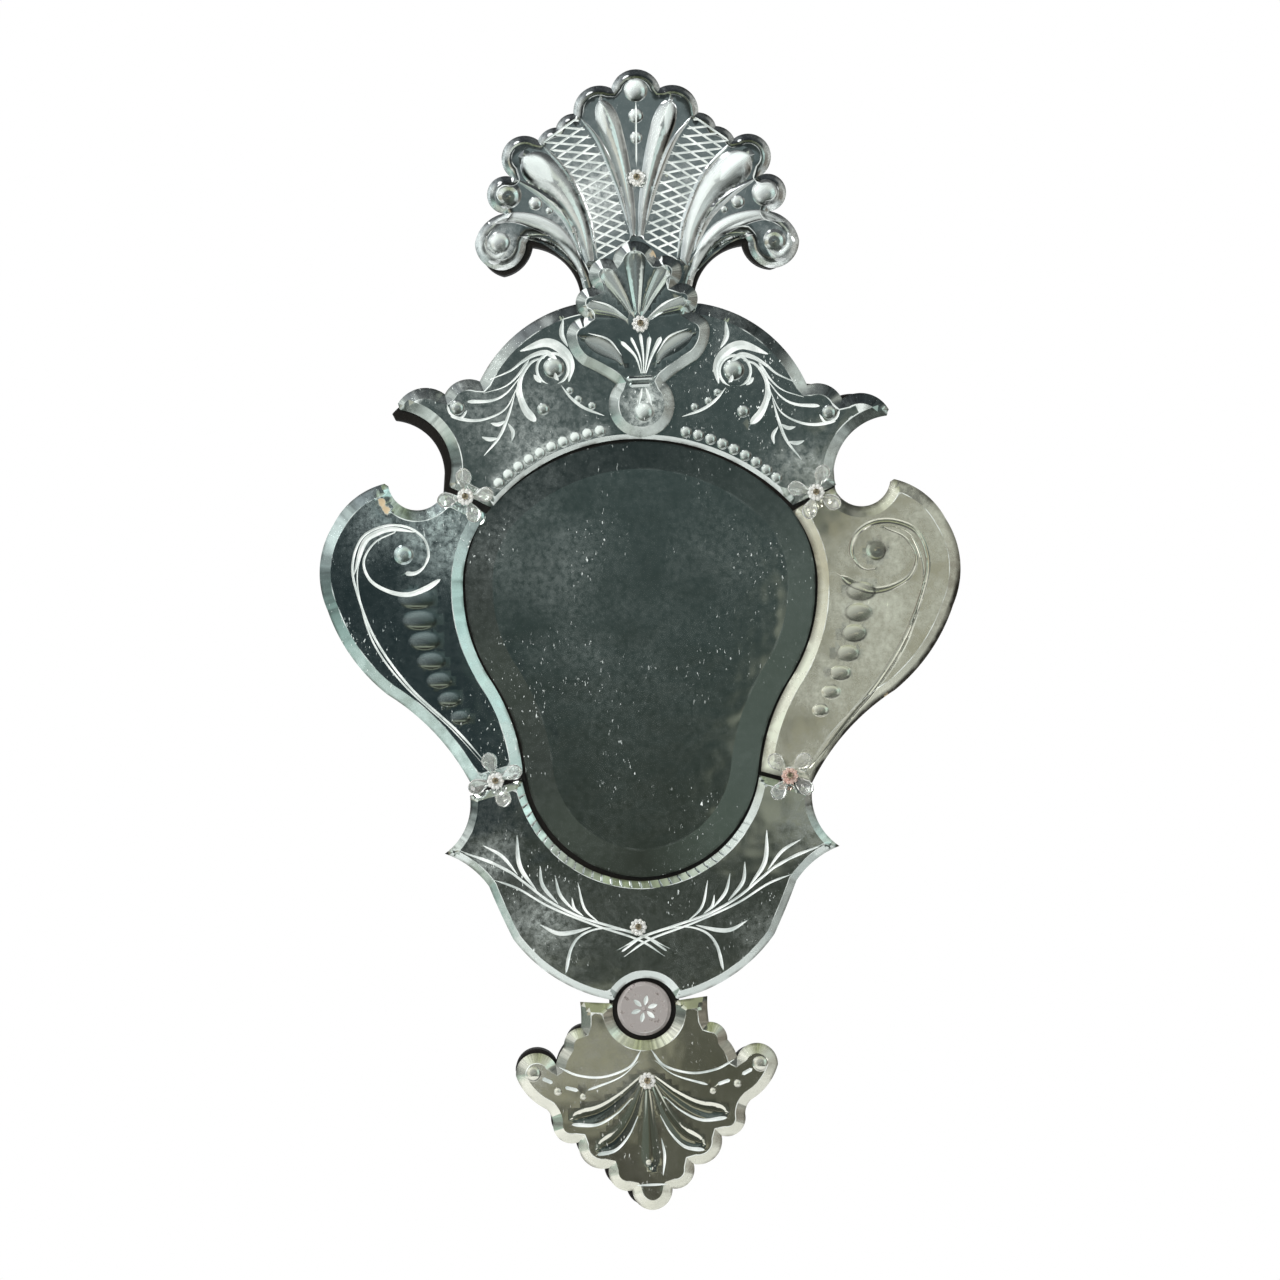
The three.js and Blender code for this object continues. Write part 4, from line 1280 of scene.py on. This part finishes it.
def pin_piece(node, material):
    around = np.arange(PIN_SIDES) * 2 * math.pi / PIN_SIDES
    circle = np.stack((np.cos(around), np.sin(around)), axis=1)
    rings = [np.column_stack((r * circle, np.full(PIN_SIDES, h))) for r, h in PIN_PROFILE]
    vertices, faces = lofted(rings, (0, 0, 0), (0, 0, PIN_TOP))
    placed = stand(vertices, node)
    add_piece("domed_" + node, placed, faces, [material], node, crease=PIN_CREASE)


# The object

def board_stations():
    corner_x, corner_z = BOARD_VOLUTE_CORNER
    raised = []
    for x, z, sag in mirror_half(BOARD_HALF):
        rise = BOARD_VOLUTE_RISE if x > corner_x and z > corner_z else 0
        raised.append((x, z + rise, sag))
    return raised


def circle_stations(radius):
    sag = radius * (1 - math.cos(math.pi / 4))
    return [(0, radius, sag), (radius, 0, sag), (0, -radius, sag), (-radius, 0, sag)]


frost = frosted_cut("frosted_engraving")
green_clear = colour(0.70, 0.76, 0.74)
grey_milky = colour(0.60, 0.65, 0.62)
silver = aged_mirror("silver_green", green_clear, grey_milky, 1.0)
cyan = aged_mirror("silver_cyan", colour(0.68, 0.79, 0.79), colour(0.54, 0.69, 0.65))
dark = aged_mirror("silver_dark", colour(0.64, 0.71, 0.69), grey_milky, 1.0, 2.2, 0.05)
warm = aged_mirror("silver_warm", colour(0.80, 0.79, 0.68), colour(0.58, 0.61, 0.50), 0.3, 4.5, 0.8, 0.35)
olive = aged_mirror("silver_olive", colour(0.84, 0.84, 0.75), colour(0.60, 0.60, 0.50), 0.5, 2.2, 0.8, 0.6)
pale = aged_mirror("silver_pale", colour(0.86, 0.90, 0.90), colour(0.70, 0.76, 0.74), 0.3)
rosy = aged_mirror("silver_rosy", colour(0.70, 0.62, 0.60), colour(0.30, 0.275, 0.265), 0.2)
glass = clear_glass("pressed_glass", colour(0.98, 0.99, 0.97), colour(0.88, 0.86, 0.78), 0.88)
grained_glass = clear_glass("grained_glass", colour(0.98, 0.98, 0.96), colour(0.86, 0.83, 0.76), 0.5)
copper_glass = clear_glass("copper_tinted_glass", colour(0.93, 0.72, 0.64), colour(0.80, 0.50, 0.42), 0.6)
wood = black_wood("black_stained_wood")
metal = pin_metal("tarnished_pin")

glass_plate("sawn_backing_board", "backing_board", board_stations(), [], [wood], bevel=BOARD_ROUNDING,
            thickness=BOARD_THICKNESS, edge=BOARD_THICKNESS - BOARD_ROUNDING, rounded=True)
glass_plate("bevelled_centre_mirror", "centre_mirror", mirror_half(MIRROR_HALF), [], [dark, frost],
            bevel=MIRROR_BEVEL, crease=MIRROR_CREASE)
glass_plate("engraved_top_panel", "top_panel", TOP, top_carving(), [silver, frost], TOP_LEAN)
glass_plate("engraved_left_side_panel", "left_side_panel", mirror_whole(SIDE_RIGHT), side_carving(LEFT),
            [cyan, frost])
glass_plate("engraved_right_side_panel", "right_side_panel", SIDE_RIGHT, side_carving(RIGHT), [warm, frost])
glass_plate("engraved_apron_panel", "apron_panel", mirror_half(APRON_HALF), apron_carving(), [silver, frost],
            APRON_LEAN, bevel=APRON_BEVEL, edge=APRON_EDGE)
glass_plate("engraved_crown_plume", "crown_plume", mirror_half(CROWN_HALF), crown_carving(), [pale, frost],
            bevel=CROWN_BEVEL, rounded=True)
glass_plate("engraved_crest_shield", "crest_shield", mirror_half(SHIELD_HALF), shield_carving(),
            [silver, frost], SHIELD_LEAN, bevel=SCALLOP_BEVEL)
glass_plate("engraved_pendant_shell", "pendant_shell", mirror_half(PENDANT_HALF), pendant_carving(),
            [olive, frost], PENDANT_LEAN, bevel=SCALLOP_BEVEL, shift_z=MEDALLION_Z)
glass_plate("engraved_round_medallion", "round_medallion", circle_stations(MEDALLION_RADIUS),
            medallion_carving(), [rosy, frost], bevel=MEDALLION_BEVEL,
            thickness=GLASS + MEDALLION_RISE, edge=GLASS, shift_z=MEDALLION_Z)

# Where each flower is and which way its petals point, in degrees
FLOWERS = {
    "upper_left": ((-139, -76), (95, 190, 295, 5)),
    "upper_right": ((141, -75), (70, 328, 251, 170)),
    "lower_left": ((-117, -303), (108, 23, 292, 198)),
    "lower_right": ((118, -301), (135, 46, 236, 322)),
}
for where, (centre, turns) in FLOWERS.items():
    flower_piece(where, turns, centre, glass)
    rosette_piece("flower_bead_" + where, copper_glass if where == "lower_right" else grained_glass)
    pin_piece("flower_pin_" + where, metal)
for where in ("crown", "shield", "apron", "pendant"):
    rosette_piece("rosette_" + where, grained_glass)
    pin_piece("rosette_pin_" + where, metal)


# Studio: pale floor, soft light and the camera

PHOTO_PIXELS = 1280
MM_PER_PIXEL = 0.8
AXIS_PIXEL = (638.5, 400.0)
ROLL = math.radians(0.534)
CAMERA_DISTANCE = 3.2
SENSOR = 36.0
FLOOR_DROP = 0.26
FLOOR_RADIUS = 1.0
FLOOR_SIDES = 96
CLIP_END = 50


def add_camera():
    data = bpy.data.cameras.new("camera")
    camera = add_object("camera", data)
    data.sensor_width = SENSOR
    data.lens = SENSOR * CAMERA_DISTANCE / (PHOTO_PIXELS * MM_PER_PIXEL * MM)
    data.clip_end = CLIP_END
    across_px = 0.5 * PHOTO_PIXELS - AXIS_PIXEL[0]
    down_px = 0.5 * PHOTO_PIXELS - AXIS_PIXEL[1]
    x = (across_px * math.cos(ROLL) - down_px * math.sin(ROLL)) * MM_PER_PIXEL * MM
    z = -(across_px * math.sin(ROLL) + down_px * math.cos(ROLL)) * MM_PER_PIXEL * MM
    plane_y = -(node_back("top_panel") + GLASS) * MM
    turn = Matrix.Rotation(math.radians(90), 4, "X") @ Matrix.Rotation(-ROLL, 4, "Z")
    camera.matrix_world = Matrix.Translation((x, plane_y - CAMERA_DISTANCE, z)) @ turn
    bpy.context.scene.camera = camera


def add_floor():
    angles = np.arange(FLOOR_SIDES) * 2 * math.pi / FLOOR_SIDES
    z = cad_box[0][2] - FLOOR_DROP
    ring = [(FLOOR_RADIUS * math.cos(a), FLOOR_RADIUS * math.sin(a), z) for a in angles]
    mesh = bpy.data.meshes.new("floor")
    mesh.from_pydata(ring, [], [tuple(range(FLOOR_SIDES))])
    floor = add_object("floor", mesh)
    material, tree, shader, coords = new_material("pale_floor")
    tint = blend(tree, noise(tree, coords, 3), colour(0.78, 0.78, 0.77), colour(0.84, 0.84, 0.83))
    feed(tree, shader, Base_Color=tint, Roughness=0.8)
    mesh.materials.append(material)


# The room that the glass reflects: a dark middle, and round it light that changes with the direction,
# given as (degrees counter-clockwise from the right, colour). The dim ring is what the centre mirror's
# wide bevel catches, the inner ring what bevels that face the middle catch, the outer ring what bevels
# that face away from it catch, and the far ring what beads and steep edges catch.
DIM_RING = [
    (-180, (0.050, 0.055, 0.050)), (-135, (0.075, 0.085, 0.070)), (-90, (0.045, 0.050, 0.040)),
    (-45, (0.100, 0.120, 0.100)), (0, (0.110, 0.130, 0.115)), (45, (0.060, 0.075, 0.070)),
    (90, (0.030, 0.040, 0.040)), (135, (0.035, 0.045, 0.045)), (180, (0.050, 0.055, 0.050)),
]
INNER_RING = [
    (-180, (0.55, 0.53, 0.42)), (-165, (0.45, 0.42, 0.33)), (-150, (0.85, 0.86, 0.80)),
    (-136, (0.80, 0.84, 0.80)), (-118, (0.10, 0.12, 0.10)), (-90, (0.07, 0.08, 0.07)),
    (-40, (0.10, 0.11, 0.10)), (-20, (0.58, 0.63, 0.61)), (0, (0.58, 0.72, 0.66)),
    (25, (0.82, 1.06, 1.00)), (45, (0.60, 0.64, 0.55)), (80, (0.34, 0.38, 0.22)),
    (100, (0.40, 0.43, 0.30)), (130, (0.85, 0.90, 0.80)), (155, (1.10, 1.12, 1.10)),
    (172, (0.70, 0.70, 0.60)), (180, (0.55, 0.53, 0.42)),
]
OUTER_RING = [
    (-180, (0.13, 0.15, 0.145)), (-166, (0.20, 0.25, 0.23)), (-152, (0.45, 0.60, 0.54)),
    (-138, (0.55, 0.62, 0.54)), (-120, (0.50, 0.53, 0.46)), (-90, (0.75, 0.78, 0.74)),
    (-62, (1.00, 1.03, 1.00)), (-40, (0.55, 0.58, 0.57)), (-15, (0.22, 0.20, 0.17)),
    (8, (0.26, 0.245, 0.22)), (30, (0.46, 0.46, 0.42)), (44, (0.05, 0.06, 0.06)),
    (90, (0.03, 0.035, 0.04)), (114, (0.06, 0.065, 0.07)), (128, (0.30, 0.31, 0.33)),
    (140, (0.58, 0.60, 0.58)), (156, (0.92, 0.94, 0.92)), (168, (0.40, 0.43, 0.42)),
    (180, (0.13, 0.15, 0.145)),
]
FAR_RING = [
    (-180, (0.70, 0.76, 0.76)), (-140, (0.35, 0.42, 0.40)), (-95, (0.30, 0.31, 0.28)),
    (-50, (0.50, 0.52, 0.50)), (-10, (0.55, 0.54, 0.50)), (30, (0.45, 0.45, 0.43)),
    (65, (0.06, 0.065, 0.065)), (100, (0.04, 0.045, 0.05)), (130, (0.30, 0.32, 0.33)),
    (155, (0.85, 0.90, 0.90)), (180, (0.70, 0.76, 0.76)),
]
# What the flat glass catches straight ahead, from low to high, as (sine of the height, colour)
MIDDLE = [
    (-0.15, (0.05, 0.05, 0.040)), (-0.122, (0.07, 0.07, 0.055)), (-0.112, (0.26, 0.26, 0.195)),
    (-0.096, (0.33, 0.33, 0.25)), (-0.0895, (0.050, 0.055, 0.045)), (-0.05, (0.040, 0.047, 0.038)),
    (0.0, (0.046, 0.062, 0.058)), (0.05, (0.055, 0.075, 0.073)), (0.08, (0.062, 0.082, 0.083)),
    (0.092, (0.085, 0.11, 0.112)), (0.15, (0.13, 0.16, 0.16)),
]
MIDDLE_SPAN = 0.15
WARM_WALL = (0.30, 0.30, 0.235)
DARK_WALL = (0.022, 0.032, 0.034)
LOW_RIGHT = (0.085, 0.088, 0.068)
BEHIND = (0.50, 0.51, 0.51)
# How far off the axis the rings and the middle end, in degrees, from full to nothing
OUTER_LIMIT = (50, 54)
INNER_LIMIT = (34.8, 36.2)
DIM_LIMIT = (21, 25)
MIDDLE_LIMIT = (9.3, 10.5)
# How far off the axis the light behind the object begins, in degrees, from full to nothing
BEHIND_LIMIT = (125, 95)
# Small bright windows: direction and distance off the axis in degrees, radius, brightness
WINDOWS = [(115, 46, 7, 1.7), (125, 76, 12, 3.2), (25, 74, 11, 2.6), (-100, 76, 11, 2.2)]
LIGHT_PLACE = (-1.6, -2.5, 1.4)
LIGHT_SIZE = 1.8
LIGHT_POWER = 135


def colour_ramp(tree, share, stops, span):
    """A ramp through stops given from -span to span."""
    node = tree.nodes.new("ShaderNodeValToRGB")
    tree.links.new(share, node.inputs["Fac"])
    elements = node.color_ramp.elements
    while len(elements) < len(stops):
        elements.new(0.5)
    for element, (place, tint) in zip(elements, stops):
        element.position = (place + span) / (2 * span)
        element.color = colour(*tint)
    return node.outputs["Color"]


def add_world():
    """White behind the object, and the room where the glass reflects it."""
    world = bpy.data.worlds.new("studio")
    bpy.context.scene.world = world
    world.use_nodes = True
    tree = world.node_tree
    tree.nodes.clear()
    direction = put(tree, "ShaderNodeTexCoord").outputs["Generated"]
    parts = put(tree, "ShaderNodeSeparateXYZ", Vector=direction).outputs
    across_room = parts["X"]
    up = parts["Z"]
    off_axis = maths(tree, "ARCCOSINE", multiply(tree, parts["Y"], -1.0))
    turn = ramp(tree, maths(tree, "ARCTAN2", up, across_room), -math.pi, math.pi)

    def within(limit):
        full, nothing = limit
        return ramp(tree, off_axis, math.radians(nothing), math.radians(full))

    height = ramp(tree, up, -MIDDLE_SPAN, MIDDLE_SPAN)
    middle = colour_ramp(tree, height, MIDDLE, MIDDLE_SPAN)
    level = ramp(tree, maths(tree, "ABSOLUTE", up), 0.056, 0.046)
    slant = multiply(tree, up, 0.3)
    for wall, side in ((WARM_WALL, 1.0), (DARK_WALL, -1.0)):
        outward = maths(tree, "SUBTRACT", multiply(tree, across_room, side), slant)
        share = multiply(tree, ramp(tree, outward, 0.034, 0.043), level)
        middle = blend(tree, share, middle, colour(*wall))
    low_right = multiply(tree, ramp(tree, across_room, -0.004, 0.010), ramp(tree, up, -0.0895, -0.094))
    middle = blend(tree, low_right, middle, colour(*LOW_RIGHT))

    light = colour_ramp(tree, turn, FAR_RING, 180)
    light = blend(tree, within(OUTER_LIMIT), light, colour_ramp(tree, turn, OUTER_RING, 180))
    light = blend(tree, within(INNER_LIMIT), light, colour_ramp(tree, turn, INNER_RING, 180))
    patchy = ramp(tree, noise(tree, direction, 24, 5, 0.65), 0.35, 0.65, 0.4, 1.4)
    scaled = put(tree, "ShaderNodeVectorMath", operation="SCALE", Vector=light, Scale=patchy)
    light = scaled.outputs["Vector"]
    for turn_degrees, tilt_degrees, radius, brightness in WINDOWS:
        tilt = math.radians(tilt_degrees)
        sideways = math.radians(turn_degrees)
        facing = put(tree, "ShaderNodeVectorMath", operation="DOT_PRODUCT")
        tree.links.new(direction, facing.inputs[0])
        facing.inputs[1].default_value = (math.sin(tilt) * math.cos(sideways), -math.cos(tilt),
                                          math.sin(tilt) * math.sin(sideways))
        window = ramp(tree, facing.outputs["Value"], math.cos(math.radians(radius)),
                      math.cos(math.radians(0.75 * radius)))
        light = blend(tree, window, light, colour(brightness, brightness, brightness))
    light = blend(tree, within(DIM_LIMIT), light, colour_ramp(tree, turn, DIM_RING, 180))
    light = blend(tree, within(MIDDLE_LIMIT), light, middle)
    light = blend(tree, within(BEHIND_LIMIT), light, colour(*BEHIND))
    room = put(tree, "ShaderNodeBackground", Color=light, Strength=1.0)
    paper = put(tree, "ShaderNodeBackground", Color=colour(1, 1, 1), Strength=1.0)
    seen = put(tree, "ShaderNodeLightPath").outputs["Is Camera Ray"]
    mix = tree.nodes.new("ShaderNodeMixShader")
    tree.links.new(seen, mix.inputs["Fac"])
    tree.links.new(room.outputs["Background"], mix.inputs[1])
    tree.links.new(paper.outputs["Background"], mix.inputs[2])
    output = tree.nodes.new("ShaderNodeOutputWorld")
    tree.links.new(mix.outputs["Shader"], output.inputs["Surface"])


def add_light():
    """A broad soft light that the frosted and milky glass catches and the polished glass doesn't show."""
    data = bpy.data.lights.new("soft_light", "AREA")
    data.shape = "DISK"
    data.size = LIGHT_SIZE
    data.energy = LIGHT_POWER
    light = add_object("soft_light", data)
    place = Vector(LIGHT_PLACE)
    middle = Vector((0, 0, 0.5 * (cad_box[0][2] + cad_box[1][2])))
    turn = (middle - place).to_track_quat("-Z", "Y").to_matrix().to_4x4()
    light.matrix_world = Matrix.Translation(place) @ turn
    light.visible_glossy = False


add_camera()
add_floor()
add_world()
add_light()
bpy.context.scene.view_settings.view_transform = "Standard"
